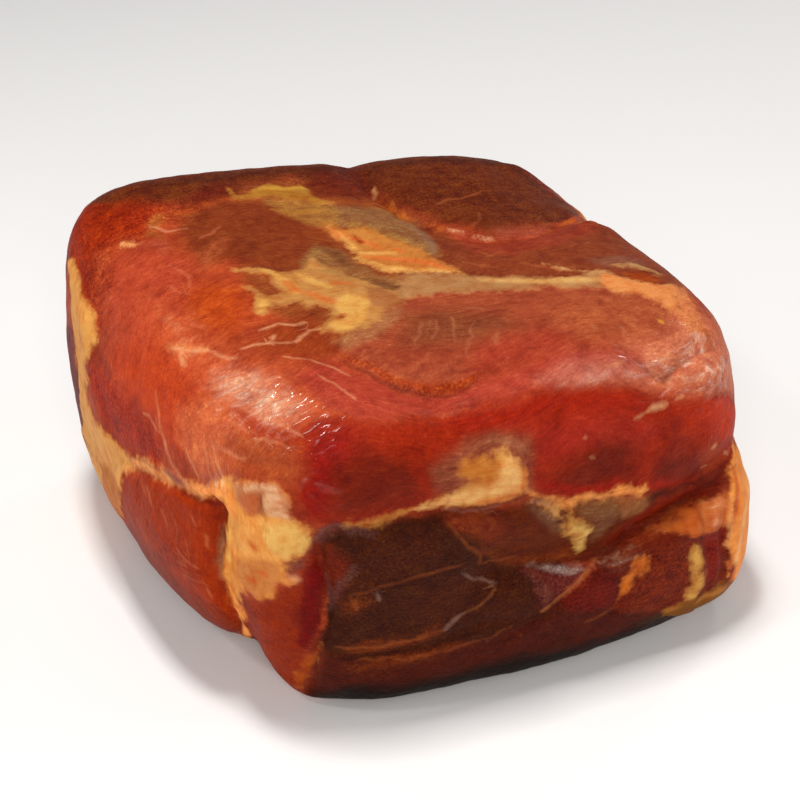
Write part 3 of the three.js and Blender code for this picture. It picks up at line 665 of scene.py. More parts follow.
# Fine lines in and on the meat: name, colour, strokes
VEINS = [
    ("faint fibres on the left of the top", "#cc6a48", [
        [(166, 266, 0.2), (178, 268, 0.4), (188, 276, 0.4), (192, 288, 0.2)],
        [(190, 322, 0.2), (198, 326, 0.5), (206, 327, 0.3)],
        [(200, 238, 0.2), (212, 234, 0.4), (220, 226, 0.2)],
        [(170, 286, 0.2), (180, 292, 0.4), (190, 294, 0.2)],
    ]),
    # Marbling, and painted glints: the pale strokes on the shoulder stand for glints
    ("marbling and painted glints on the top", "#e0a074", [
        [(241, 350, 0.3), (257, 345, 0.5), (271, 343, 0.5), (284, 343, 0.3), (297, 342, 0.5), (308, 331, 0.5), (320, 329, 0.3)],
        [(259, 332, 0.2), (268, 328, 0.5), (279, 325, 0.4), (292, 326, 0.5), (305, 324, 0.5)],
        [(273, 336, 0.5), (272, 345, 0.3)],
        [(172, 348, 0.3), (182, 350, 0.6), (196, 351, 0.3), (207, 350, 0.3), (221, 357, 0.4), (235, 358, 0.4)],
        [(181, 352, 0.4), (180, 358, 0.3), (185, 367, 0.4)],
        [(150, 225, 0.5), (166, 231, 0.3), (186, 229, 0.2)],
        [(284, 357, 0.1), (312, 359, 0.3), (336, 366, 0.3), (350, 373, 0.1)],
        [(318, 374, 0.1), (340, 386, 0.2), (356, 398, 0.1)],
    ]),
    ("marbling on the back muscle", "#a9572c", [
        [(436, 205, 0.3), (448, 199, 0.4), (462, 199, 0.4), (480, 192, 0.3)],
        [(473, 226, 0.4), (480, 220, 0.4), (479, 212, 0.2)],
        [(543, 223, 0.3), (552, 223, 0.4)],
        [(480, 250, 0.3), (492, 255, 0.4), (503, 250, 0.3)],
        [(462, 262, 0.3), (486, 264, 0.4), (505, 268, 0.3)],
        [(520, 262, 0.2), (540, 266, 0.4), (560, 271, 0.3)],
    ]),
    ("fine lines on the top muscle", "#b06a46", [
        [(464, 308, 0.3), (474, 307, 0.5), (483, 309, 0.4)],
        [(452, 316, 0.2), (454, 328, 0.3), (455, 342, 0.2)],
        [(436, 320, 0.2), (437, 330, 0.3), (433, 340, 0.2)],
        [(421, 322, 0.2), (421, 332, 0.3), (414, 344, 0.2)],
        [(474, 320, 0.2), (470, 336, 0.3), (466, 356, 0.2)],
        [(590, 325, 0.2), (596, 331, 0.4)],
        [(610, 330, 0.2), (622, 328, 0.3), (623, 334, 0.3)],
        [(634, 318, 0.2), (638, 326, 0.3)],
        [(500, 330, 0.2), (496, 344, 0.3)],
    ]),
    ("pale rims of the shoulder's dip", "#d4805a", [
        [(233, 406, 0.1), (250, 413, 0.3), (268, 419, 0.3), (290, 428, 0.3), (302, 438, 0.1)],
        [(254, 437, 0.1), (266, 438, 0.4), (279, 443, 0.3), (288, 451, 0.1)],
        [(213, 440, 0.5), (220, 447, 0.5), (231, 453, 0.5), (243, 461, 0.2)],
        [(226, 420, 0.3), (236, 424, 0.4), (244, 430, 0.2)],
    ]),
    ("yellow dot", "#e0a038", [
        [(660, 321, 0.9), (662, 322, 0.9)],
    ]),
    ("tendons on the left face", "#dc8c62", [
        [(156, 390, 0.1), (158, 405, 0.3), (159, 422, 0.5), (163, 442, 0.7), (170, 462, 0.7), (178, 476, 0.7), (187, 485, 0.5)],
        [(143, 412, 0.5), (150, 418, 0.4), (157, 430, 0.3)],
        [(186, 448, 0.3), (190, 462, 0.4), (198, 476, 0.5)],
        [(203, 436, 0.3), (206, 456, 0.4), (212, 476, 0.5)],
        [(214, 440, 0.4), (216, 456, 0.6), (221, 474, 0.6)],
        [(221, 448, 0.3), (234, 456, 0.4), (244, 458, 0.2)],
    ]),
    # Painted glints: pale beads on the wet wrinkles
    ("painted glints on the wet wrinkles", "#b48468", [
        [(602, 563, 0.2), (608, 558, 0.4)],
        [(613, 559, 0.3), (619, 552, 0.4)],
        [(612, 567, 0.2), (620, 564, 0.4)],
        [(628, 550, 0.3), (634, 547, 0.3)],
    ]),
    ("streaks on the lower left muscle", "#c46c40", [
        [(146, 488, 0.3), (150, 500, 0.5), (154, 508, 0.2)],
        [(190, 516, 0.2), (196, 526, 0.4)],
        [(160, 508, 0.2), (166, 520, 0.4), (168, 530, 0.2)],
        [(206, 534, 0.2), (208, 548, 0.4)],
        [(178, 548, 0.3), (186, 560, 0.5), (198, 568, 0.3)],
        [(206, 584, 0.2), (212, 596, 0.4)],
    ]),
    ("lines on the lower left muscle", "#b05a2c", [
        [(186, 541, 0.3), (188, 548, 0.5), (190, 556, 0.3)],
        [(184, 575, 0.3), (192, 578, 0.4), (202, 582, 0.5)],
        [(140, 478, 0.4), (143, 492, 0.5), (150, 500, 0.2)],
        [(172, 512, 0.3), (178, 524, 0.4), (176, 540, 0.2)],
        [(176, 560, 0.2), (186, 566, 0.3)],
    ]),
    ("pale rim of the dark front", "#7a504a", [
        [(306, 552, 0.3), (314, 541, 0.5), (324, 531, 0.5), (336, 526, 0.4), (352, 528, 0.3), (366, 531, 0.1)],
        [(326, 577, 0.2), (331, 604, 0.3), (328, 616, 0.3)],
    ]),
    ("pale orange edge of the triangle", "#b4683a", [
        [(597, 561, 0.5), (588, 573, 0.9), (578, 584, 0.9), (566, 597, 0.8), (552, 606, 0.6), (542, 613, 0.4)],
    ]),
    ("orange edges on the dark front", "#8e441a", [
        [(348, 598, 0.1), (382, 586, 0.4), (416, 577, 0.4), (442, 569, 0.3), (464, 563, 0.1)],
        [(350, 603, 0.8), (356, 609, 0.9)],
        [(335, 647, 0.2), (356, 649, 0.6), (378, 647, 0.8), (405, 642, 0.8), (431, 634, 0.7), (443, 631, 0.4)],
        [(356, 661, 0.2), (405, 659, 0.5), (449, 649, 0.5), (487, 638, 0.3)],
        [(486, 643, 0.1), (498, 634, 0.3), (512, 626, 0.1)],
        [(450, 526, 0.3), (460, 538, 0.5), (468, 546, 0.5), (481, 554, 0.4), (480, 563, 0.4)],
        [(482, 562, 0.3), (500, 560, 0.5), (516, 556, 0.3)],
        [(548, 563, 0.4), (562, 558, 0.6), (580, 556, 0.4)],
        [(478, 513, 0.3), (495, 521, 0.4), (490, 530, 0.3)],
        [(616, 608, 0.5), (600, 616, 0.4), (585, 622, 0.2)],
    ]),
    ("orange edge of the olive muscle", "#98562a", [
        [(461, 616, 0.2), (479, 606, 0.4), (488, 598, 0.4), (496, 588, 0.2)],
    ]),
    ("pale edges on the dark front", "#8e685a", [
        [(444, 630, 0.5), (449, 625, 0.9), (456, 619, 0.7), (464, 614, 0.2)],
        [(461, 573, 0.2), (479, 578, 0.4), (496, 584, 0.4)],
        [(377, 594, 0.6), (379, 600, 0.6)],
        [(527, 567, 0.5), (534, 566, 0.8), (542, 568, 0.5)],
        [(532, 502, 0.4), (540, 501, 0.5), (550, 505, 0.2)],
        [(444, 508, 0.2), (462, 511, 0.4), (480, 509, 0.3), (500, 505, 0.3)],
        [(630, 531, 0.3), (636, 528, 0.4)],
    ]),
    ("marks by the pinch", "#d8a070", [
        [(634, 420, 0.1), (641, 415, 0.5), (645, 412, 0.2)],
        [(648, 411, 0.3), (654, 408, 0.9), (662, 405, 0.9), (668, 403, 0.3)],
        [(676, 399, 0.2), (684, 396, 0.4)],
        [(712, 448, 0.6), (716, 445, 0.7)],
        [(724, 452, 0.5), (727, 454, 0.6)],
        [(700, 468, 0.3), (706, 466, 0.4)],
        [(591, 458, 0.6), (593, 458, 0.6)],
        [(584, 438, 0.4), (586, 437, 0.5)],
    ]),
    # Cream dashes that are partly painted glints
    ("cream dashes and painted glints", "#d7925f", [
        [(660, 362, 0.3), (667, 356, 0.5)],
        [(606, 366, 0.2), (622, 362, 0.3)],
        [(374, 186, 0.7), (375, 194, 0.6)],
    ]),
    ("lines on the right side", "#c88052", [
        [(97, -30, 78, 0.5), (97, 5, 72, 0.8), (96, 40, 78, 0.6)],
        [(97, -50, 96, 0.3), (97, -20, 100, 0.6), (95, 5, 104, 0.3)],
        [(97, 10, 26, 0.4), (96, 40, 18, 0.7), (92, 66, 22, 0.3)],
    ]),
    ("lines on the back", "#c88052", [
        [(-70, 96, 80, 0.4), (-50, 98, 74, 0.8), (-30, 98, 66, 0.4)],
        [(40, 97, 80, 0.3), (60, 95, 74, 0.6), (76, 92, 78, 0.4)],
        [(-50, 97, 30, 0.4), (-20, 98, 34, 0.7), (10, 98, 36, 0.3)],
    ]),
]

# Painted shade: dark lines in the creases where one muscle meets the next. The amount is half the breadth.
CREASE_SHADE_LINES = [
    [(736, 464, 0.3), (715, 481, 0.7), (690, 498, 1.2), (652, 522, 1.8), (622, 542, 1.6), (594, 557, 1.0), (560, 563, 0.7), (520, 566, 0.3)],
    [(446, 510, 0.4), (470, 508, 0.5), (500, 503, 0.5), (526, 497, 0.5), (560, 503, 0.3)],
    [(648, 499, 0.4), (670, 493, 0.7), (700, 482, 0.7), (728, 462, 0.4)],
    [(374, 203, 0.2), (386, 206, 0.5), (400, 214, 0.5), (412, 220, 0.5), (430, 226, 0.3)],
    [(345, 362, 0.3), (362, 370, 0.5), (395, 386, 0.6), (419, 393, 0.6), (440, 394, 0.6), (461, 391, 0.5), (478, 381, 0.3)],
    [(630, 358, 0.2), (643, 367, 0.5), (655, 376, 0.8), (667, 382, 1.0), (671, 372, 0.7), (684, 362, 0.6), (697, 352, 0.5), (716, 348, 0.2)],
    [(258, 496, 0.5), (259, 506, 0.8), (259, 516, 0.6)],
    [(223, 503, 0.4), (221, 520, 0.4), (221, 545, 0.3)],
    [(240, 630, 0.5), (250, 640, 1.0), (256, 648, 0.8)],
    [(312, 545, 0.3), (322, 552, 0.4), (326, 576, 0.4), (331, 604, 0.5), (327, 630, 0.5), (320, 652, 0.6), (312, 672, 0.6)],
    [(340, 320, 0.7), (342, 320, 0.7)],
    [(359, 242, 0.8), (361, 243, 0.8)],
    [(354, 236, 0.3), (357, 239, 0.3)],
    [(517, 569, 0.3), (527, 578, 0.4), (536, 592, 0.4), (541, 608, 0.4)],
    [(330, 657, 0.3), (380, 657, 0.6), (430, 649, 0.6), (470, 634, 0.4)],
    [(132, 455, 0.3), (146, 461, 0.3), (160, 472, 0.3)],
    [(188, 496, 0.3), (206, 503, 0.5), (222, 508, 0.5)],
    [(524, 350, 0.2), (540, 346, 0.2)],
]

# Where the surface is moist and glossy, and where it is dried to a granular crust: feather, shapes
MOIST = [
    (8.0, [
        [(196, 356), (225, 360), (262, 366), (300, 388), (330, 414), (322, 436), (290, 446), (250, 444), (218, 420)],
        [(640, 352), (668, 338), (700, 338), (720, 352), (728, 372), (718, 392), (684, 392), (650, 386)],
        [(470, 408), (520, 388), (580, 366), (640, 356), (654, 384), (600, 394), (540, 402), (490, 416)],
    ]),
    (3.0, [
        [(400, 420, 1.0), (440, 412, 2.4), (470, 404, 2.4)],
        [(150, 300, 1.0), (180, 330, 3.0), (215, 370, 3.0)],
        [(204, 484, 1.0), (222, 480, 2.0), (234, 480, 1.0)],
        [(600, 566, 1.2), (618, 558, 2.6), (636, 550, 1.6)],
        [(712, 504, 1.6), (714, 522, 1.2)],
        [(306, 480, 2.0), (330, 500, 2.0)],
    ]),
]
CRUST = [
    (8.0, [
        [(60, 280), (70, 200), (150, 160), (370, 140), (530, 140), (620, 200), (550, 226), (440, 222), (370, 192),
         (250, 183), (180, 220), (120, 250), (100, 330), (85, 320)],
        [(-60, 94, 96, 14.0), (0, 97, 100, 14.0), (70, 92, 96, 14.0)],
    ]),
    (8.0, [
        [(335, 540), (350, 532), (404, 522), (446, 516), (470, 540), (540, 562), (600, 566), (720, 520), (735, 560),
         (700, 600), (600, 626), (520, 650), (420, 672), (330, 684), (326, 640)],
    ]),
    (1.5, [
        [(340, 356, 0.4), (365, 365, 1.0), (395, 382, 1.2), (419, 388, 1.5), (440, 389, 1.5), (461, 386, 1.2),
         (478, 378, 0.6)],
    ]),
    (5.0, [
        [(90, 370), (110, 370), (150, 430), (160, 460), (110, 430)],
    ]),
]

# Grooves pressed into the surface. The amount is the depth.
GROOVE_BREADTH = 1.9
GROOVES = {
    "under the flap": [
        (738, 462, 0.8), (715, 481, 2.0), (690, 497, 3.2), (652, 521, 3.8), (622, 541, 3.6), (594, 556, 3.0),
        (560, 563, 2.2), (515, 566, 1.0),
    ],
    "front seam": [
        (318, 532, 1.0), (345, 527, 1.2), (372, 528, 1.4), (404, 514, 1.2), (450, 511, 1.0), (500, 505, 1.2),
        (528, 498, 1.0),
    ],
    "front seam, right": [
        (528, 498, 1.0), (560, 503, 1.2), (600, 500, 1.2), (646, 495, 1.5), (690, 487, 1.5), (730, 462, 0.8),
    ],
    "beside the foot": [
        (314, 541, 1.5), (321, 560, 2.0), (329, 586, 2.0), (328, 612, 2.0), (322, 642, 2.0), (312, 668, 1.5),
        (310, 692, 1.0),
    ],
    "left seam": [
        (100, 470, 0.5), (124, 462, 1.0), (140, 470, 1.4), (163, 480, 1.6), (188, 494, 1.8), (214, 502, 2.0),
        (223, 510, 2.0),
    ],
    "left of the corner patch": [
        (223, 510, 2.2), (220, 540, 2.6), (216, 575, 2.8), (228, 602, 3.0), (239, 628, 3.0), (243, 638, 2.5),
    ],
    "seam on the top": [
        (363, 172, 1.5), (369, 192, 2.2), (400, 214, 1.8), (425, 226, 1.6), (450, 234, 1.2), (490, 240, 1.4),
        (530, 235, 1.2), (570, 224, 0.7), (588, 218, 0.2),
    ],
    "pinch": [(640, 360, 0.3), (653, 372, 1.0), (666, 381, 1.6), (674, 368, 1.2), (689, 354, 0.9), (717, 349, 0.3)],
    "slit in the corner": [(258, 496, 1.8), (259, 517, 1.8)],
    "dip in the shoulder": [(222, 418, 0.3), (246, 426, 1.0), (272, 436, 1.2), (292, 444, 0.8)],
    "below the dip": [(222, 452, 0.4), (250, 464, 1.0), (280, 468, 0.6)],
    "triangle, left": [(517, 567, 1.0), (530, 590, 1.2), (543, 612, 1.0)],
    "triangle, right": [(598, 560, 0.8), (572, 590, 1.2), (543, 614, 1.2), (510, 634, 0.6)],
    "lobe": [(650, 556, 1.0), (628, 582, 1.2), (612, 612, 0.8)],
    "bottom fold": [(330, 650, 0.6), (380, 656, 1.2), (430, 646, 1.2), (480, 625, 1.0), (540, 618, 0.5)],
    "channel on the top": [(300, 268, 0.5), (340, 270, 1.0), (380, 280, 1.0), (420, 288, 0.5)],
    "beside the cream strip": [(708, 545, 0.8), (712, 575, 1.0), (704, 598, 0.8)],
    "beside the right edge": [(726, 500, 0.8), (722, 530, 1.4), (724, 565, 1.4), (716, 588, 0.8)],
    "right side seam": [(96, -90, 62, 1.5), (97, -50, 66, 2.2), (97, 0, 61, 2.5), (95, 50, 54, 2.5), (88, 88, 48, 2.0)],
    "back seam": [(70, 94, 56, 2.0), (30, 97, 60, 2.5), (-20, 98, 56, 2.5), (-60, 97, 54, 2.0), (-85, 92, 62, 1.0)],
    "back cleft": [(18, 92, 110, 1.5), (22, 97, 88, 2.2), (20, 98, 64, 2.0)],
}

# Steps: one muscle lies over the next. The amount is the rise on the left of the stroke's way.
STEP_BREADTH = 1.2
STEP_REACH = 16.0
STEPS = {
    "upper muscle on the top": [
        (320, 352, 0.3), (334, 358, 1.2), (362, 368, 1.6), (395, 384, 1.8), (419, 391, 1.8), (438, 392, 1.8),
        (461, 389, 1.8), (475, 381, 1.6), (490, 372, 1.4), (526, 358, 1.0), (555, 351, 0.8), (606, 349, 0.3),
    ],
}

# Swells: the amount is the rise of a soft lump
SWELL_BREADTH = 6.0
SWELLS = {
    "right edge": [(738, 440, 1.4), (742, 470, 1.5), (741, 500, 0.8)],
    "patch at the corner": [(262, 545, 1.0), (290, 540, 1.2)],
    "fan": [(470, 490, 0.8), (510, 478, 1.2)],
    "lower patch": [(330, 292, 0.8), (370, 298, 0.8)],
    "left strip": [(84, 300, 0.8), (88, 340, 0.8), (103, 431, 0.8)],
    "muscle by the pinch": [(700, 370, 1.0), (620, 355, 0.8)],
    "flap": [(560, 530, 1.0), (620, 515, 1.2), (670, 500, 1.0)],
    "right corner": [(680, 530, 1.2), (712, 518, 1.2)],
    "end of the seam on the top": [(572, 216, 0.8), (590, 220, 2.2), (604, 228, 1.6)],
    "far corner of the top": [(498, 164, 0.4), (513, 168, 1.4), (526, 176, 0.5)],
}


# The meat's patterns: name, size in mm, and how much finer detail. The fibres and specks of the real
# meat are finer still, and are drawn as coarse as they need to show.
NOISES = (("clouds", 13.0, 4.0), ("lumps", 6.0, 3.0), ("mottle", 4.5, 6.0), ("ripples", 2.2, 2.0), ("specks", 0.85, 2.0))
FIBRE_NOISES = (("sinews", 2.6, 4.0), ("fibres", 0.8, 3.0), ("wet", 2.0, 0.0))
BEND_SIZE = 45.0
BEND_REACH = 34.0
FIBRE_DRAW = 0.15


# Colours


def linear(code):
    """An sRGB hex colour as linear red, green and blue."""
    shares = [int(code[at:at + 2], 16) / 255 for at in (1, 3, 5)]
    return [s / 12.92 if s <= 0.04045 else ((s + 0.055) / 1.055) ** 2.4 for s in shares]


def rgba(code):
    return (*linear(code), 1.0)


# Camera


def camera_axes():
    """The camera's place in mm, and its right, up and forward directions."""
    view = Euler((math.radians(90 - TILT), 0, math.radians(-TURN))).to_matrix()
    forward = -view.col[2]
    return TARGET - forward * DISTANCE, view.col[0], view.col[1], forward


def add_camera():
    place, _, _, _ = camera_axes()
    lens = bpy.data.cameras.new("camera")
    lens.lens = LENS
    lens.sensor_width = FILM_WIDTH
    lens.clip_start = 0.01
    camera = bpy.data.objects.new("camera", lens)
    camera.location = place * MM
    camera.rotation_euler = (math.radians(90 - TILT), 0, math.radians(-TURN))
    bpy.context.scene.collection.objects.link(camera)
    bpy.context.scene.camera = camera


# Shape


def even_cells():
    """A cube from -1 to 1 whose faces are cut into small cells."""
    cells = bmesh.new()
    bmesh.ops.create_cube(cells, size=2)
    for axis, count in enumerate(CELLS):
        along = [e for e in cells.edges if abs(e.verts[0].co[axis] - e.verts[1].co[axis]) > 1]
        bmesh.ops.subdivide_edges(cells, edges=along, cuts=count - 1, use_grid_fill=True)
    return cells


def pull_to_solid(cells, node):
    """Pulls each point of the cells onto the solid, along the line from the solid's middle."""
    solid = BVHTree.FromObject(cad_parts[node], bpy.context.evaluated_depsgraph_get())
    low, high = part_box(node)
    middle = (low + high) / 2
    half = (high - low) / 2
    for vert in cells.verts:
        way = vert.co * half
        start = middle + way * 3
        hit, _, _, _ = solid.ray_cast(start, (middle - start).normalized())
        vert.co = hit


def read_points(cells):
    """The places and normals of a mesh as arrays, in mm."""
    cells.normal_update()
    places = np.array([v.co for v in cells.verts]) / MM
    normals = np.array([v.normal for v in cells.verts])
    return places, normals


def noise_at(places, wavelength, offset=0.0):
    """Smooth noise from about -1 to 1 at each place."""
    shift = Vector((offset, offset * 2, offset * 3))
    return np.array([noise.noise(Vector(p) / wavelength + shift) for p in places])


def warp(places, wavelength, reach):
    """The places, moved about by noise, so that a shape drawn on them gets an uneven edge."""
    moves = np.array([noise.noise_vector(Vector(p) / wavelength) for p in places])
    return places + moves * reach


def soft_step(values, low, high):
    """0 below low, 1 above high, and smooth between."""
    share = np.clip((values - low) / (high - low), 0, 1)
    return share * share * (3 - 2 * share)


# How far to each side of a fine line its own breadth holds, in mm
LINE_ROOM = 2.0


class Drawing:
    """Draws shapes on the surface, and measures how each point of it lies to them."""

    def __init__(self, cells, places, normals):
        self.tree = BVHTree.FromBMesh(cells)
        self.places = places
        self.normals = normals
        eye, right, up, forward = (np.array(v) for v in camera_axes())
        away = places - eye
        depth = away @ forward
        self.across = away @ right / depth / PIXEL + PHOTO_SIZE / 2
        self.down = PHOTO_SIZE / 2 - away @ up / depth / PIXEL
        self.turned = np.clip(normals @ forward, 0, 1)

    def on_surface(self, point):
        """A shape's point as a place in mm, on the surface if it lies over it."""
        if len(point) == 4:
            hit, _, _, _ = self.tree.find_nearest(Vector(point[:3]) * MM)
            return np.array(hit) / MM
        eye, right, up, forward = camera_axes()
        across = (point[0] - PHOTO_SIZE / 2) * PIXEL
        down = (point[1] - PHOTO_SIZE / 2) * PIXEL
        way = (forward + right * across - up * down).normalized()
        hit, _, _, _ = self.tree.ray_cast(eye * MM, way)
        beside = eye + way * DISTANCE
        if hit is None and len(point) == 2:
            return np.array(beside)
        if hit is None:
            hit, _, _, _ = self.tree.find_nearest(beside * MM)
        return np.array(hit) / MM

    def nearest(self, stroke):
        """For each place: the distance to the stroke, the amount there, the side, and how far past an end."""
        stops = [self.on_surface(point) for point in stroke]
        gap = np.full(len(self.places), np.inf)
        amount, side, past = np.zeros((3, len(self.places)))
        for at, (start, end) in enumerate(zip(stops, stops[1:])):
            length = max(np.linalg.norm(end - start), 1e-6)
            way = (end - start) / length
            along = (self.places - start) @ way
            within = np.clip(along, 0, length)
            off = self.places - start - within[:, None] * way
            distance = np.linalg.norm(off, axis=1)
            closer = distance < gap
            gap[closer] = distance[closer]
            first, last = stroke[at][-1], stroke[at + 1][-1]
            amount[closer] = (first + (last - first) * within / length)[closer]
            side[closer] = np.sign(np.einsum("ij,ij->i", np.cross(way, off), self.normals))[closer]
            before = np.maximum(-along, 0) if at == 0 else 0
            beyond = np.maximum(along - length, 0) if at == len(stops) - 2 else 0
            past[closer] = (before + beyond + np.zeros(len(along)))[closer]
        return gap, amount, side, past

    def within_outline(self, outline):
        """Whether each place shows inside a closed outline in the photograph's frame."""
        inside = np.zeros(len(self.places), bool)
        for (x0, y0), (x1, y1) in zip(outline, outline[1:] + outline[:1]):
            crosses = (y0 > self.down) != (y1 > self.down)
            rise = (y1 - y0) or 1
            inside ^= crosses & (self.across < x0 + (self.down - y0) * (x1 - x0) / rise)
        return inside

    def cover(self, shapes):
        """How far inside the shapes each place lies, in mm; outside, it is negative."""
        best = np.full(len(self.places), -50.0)
        for shape in shapes:
            if len(shape[0]) == 2:
                closed = [(*point, 0.0)[:2] for point in shape + shape[:1]]
                gap, _, _, _ = self.nearest(closed)
                inside = self.within_outline(shape)
                depth = np.where(inside, np.minimum(gap, WELL_INSIDE), -gap) - self.turned * TURNED_AWAY
            else:
                gap, amount, _, _ = self.nearest(shape)
                depth = amount - gap
            best = np.maximum(best, depth)
        return best

    def paint(self, tones, washes):
        """The colours with the washes over them, in their order."""
        for _, colour, feather, strength, shapes in washes:
            share = strength * soft_step(self.cover(shapes), -feather, feather)[:, None]
            tones = tones + (np.array(linear(colour)) - tones) * share
        return tones

    def share(self, layers):
        """From 0 to 1, how far the shapes of the layers cover each place."""
        best = np.zeros(len(self.places))
        for feather, shapes in layers:
            best = np.maximum(best, soft_step(self.cover(shapes), -feather, feather))
        return best

    def groove(self, strokes, breadth):
        """The amount of the strongest stroke, falling off to each side."""
        best = np.zeros(len(self.places))
        for stroke in strokes:
            gap, amount, _, _ = self.nearest(stroke)
            best = np.maximum(best, amount * np.exp(-((gap / breadth) ** 2)))
        return best

    def step(self, strokes, breadth, reach):
        """The rise on the left of each stroke, fading with the distance from it."""
        rise = np.zeros(len(self.places))
        for stroke in strokes:
            gap, amount, side, _ = self.nearest(stroke)
            rise += amount * np.tanh(gap * side / breadth) * np.exp(-((gap / reach) ** 2)) / 2
        return rise

    def lines(self, groups):
        """The nearest fine line: the signed distance to its middle, what is left of its breadth, its colour."""
        nearest = np.full(len(self.places), 9.0)
        signed = np.full(len(self.places), 9.0)
        left = np.full(len(self.places), -1.0)
        tones = np.zeros((len(self.places), 3))
        for colour, strokes in groups:
            for stroke in strokes:
                gap, amount, side, past = self.nearest(stroke)
                closer = gap < nearest
                nearest[closer] = gap[closer]
                signed[closer] = (np.sqrt(np.maximum(gap ** 2 - past ** 2, 0)) * side)[closer]
                left[closer] = (amount - past - np.maximum(gap - LINE_ROOM, 0))[closer]
                tones[closer] = linear(colour)
        return signed, left, tones


def add_relief(cells, places, normals, fat):
    """Moves the surface along its normals: grooves, steps, swells, proud fat and uneven meat."""
    wavy = Drawing(cells, warp(places, 7.0, 0.8), normals)
    rise = -wavy.groove(GROOVES.values(), GROOVE_BREADTH)
    rise += wavy.step(STEPS.values(), STEP_BREADTH, STEP_REACH)
    rise += wavy.groove(SWELLS.values(), SWELL_BREADTH)
    rise += 0.5 * soft_step(fat, -0.6, 1.4)
    rise += 0.55 * noise_at(places, 20.0) + 0.3 * noise_at(places, 8.0, 5.0) + 0.12 * noise_at(places, 3.5, 9.0)
    rise *= soft_step(places[:, 2], 0.2, 3.0)
    moved = places + normals * rise[:, None]
    moved[:, 2] = np.maximum(moved[:, 2], 0)
    for vert, place in zip(cells.verts, moved):
        vert.co = Vector(place) * MM


def lean_tones(drawing):
    """The lean's colour before the washes, uneven from place to place."""
    blend = soft_step(noise_at(drawing.places, 16.0, 3.0), -0.5, 0.5)[:, None]
    return np.array(linear(LEAN_DARK)) + (np.array(linear(LEAN_LIGHT)) - np.array(linear(LEAN_DARK))) * blend


def fat_layers(drawing):
    """How deep in fat each place lies, and the fat's colour there."""
    depth = np.full(len(drawing.places), -50.0)
    tones = np.tile(linear("#c87a3c"), (len(drawing.places), 1))
    for _, colour, shapes in FAT:
        cover = drawing.cover(shapes)
        depth = np.maximum(depth, cover)
        tones = tones + (np.array(linear(colour)) - tones) * soft_step(cover, -1.6, 0.8)[:, None]
    return depth, tones


def write_values(mesh, name, values):
    mesh.attributes.new(name, "FLOAT", "POINT").data.foreach_set("value", values.astype(np.float32))


def write_colours(mesh, name, tones):
    colours = np.column_stack([tones, np.ones(len(tones))]).astype(np.float32)
    mesh.attributes.new(name, "FLOAT_COLOR", "POINT").data.foreach_set("color", colours.ravel())


def make_ham():
    cells = even_cells()
    pull_to_solid(cells, "ham")
    for _ in range(SMOOTHING_PASSES):
        bmesh.ops.smooth_vert(cells, verts=cells.verts, factor=0.5, use_axis_x=True, use_axis_y=True, use_axis_z=True)
    bmesh.ops.recalc_face_normals(cells, faces=cells.faces)
    places, normals = read_points(cells)
    loose = Drawing(cells, warp(places, 12.0, 2.0), normals)
    close = Drawing(cells, warp(places, 4.0, 0.6), normals)
    lean = close.paint(loose.paint(lean_tones(loose), WASHES), TISSUES)
    fat, fat_tone = fat_layers(close)
    vein, vein_left, vein_tone = close.lines([(colour, strokes) for _, colour, strokes in VEINS])
    # Painted shade in the creases, as fine dark lines
    crease_shade, crease_shade_left, _ = close.lines([("#000000", CREASE_SHADE_LINES)])
    moist = loose.share(MOIST)
    crust = loose.share(CRUST)
    upright = soft_step(np.abs(normals[:, 0]), 0.5, 0.8)
    add_relief(cells, places, normals, fat)
    mesh = bpy.data.meshes.new("cured_ham")
    cells.to_mesh(mesh)
    cells.free()
    mesh.shade_smooth()
    write_colours(mesh, "lean_tone", lean)
    write_colours(mesh, "fat_tone", fat_tone)
    write_colours(mesh, "vein_tone", vein_tone)
    for name, values in (("fat", fat), ("vein", vein), ("vein_left", vein_left), ("crease_shade", crease_shade),
                         ("crease_shade_left", crease_shade_left), ("moist", moist), ("crust", crust), ("upright", upright)):
        write_values(mesh, name, values)
    ham = bpy.data.objects.new("cured_ham", mesh)
    bpy.context.scene.collection.objects.link(ham)
    mesh.materials.append(cured_meat())
    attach(ham, "root")
    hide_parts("ham")


# Materials


def add(tree, kind, inputs=None, **settings):
    """Adds a node with its settings, and sets or links its inputs. Returns its outputs."""
    made = tree.nodes.new(kind)
    for name, value in settings.items():
        setattr(made, name, value)
    for key, value in (inputs or {}).items():
        if isinstance(value, bpy.types.NodeSocket):
            tree.links.new(value, made.inputs[key])
        else:
            made.inputs[key].default_value = value
    return made.outputs


def new_material(name):
    material = bpy.data.materials.new(name)
    material.use_nodes = True
    tree = material.node_tree
    return material, tree, tree.nodes["Principled BSDF"]


def tinted(tree, colour, pattern, low, high, share, factor):
    """The colour, turned towards itself times the factor as the pattern goes from low to high."""
    amount = add(tree, "ShaderNodeMapRange", {"Value": pattern, "From Min": low, "From Max": high, "To Max": share})[0]
    turned = add(tree, "ShaderNodeVectorMath", {0: colour, 1: factor}, operation="MULTIPLY")[0]
    return add(tree, "ShaderNodeMix", {0: amount, 6: colour, 7: turned}, data_type="RGBA")[2]


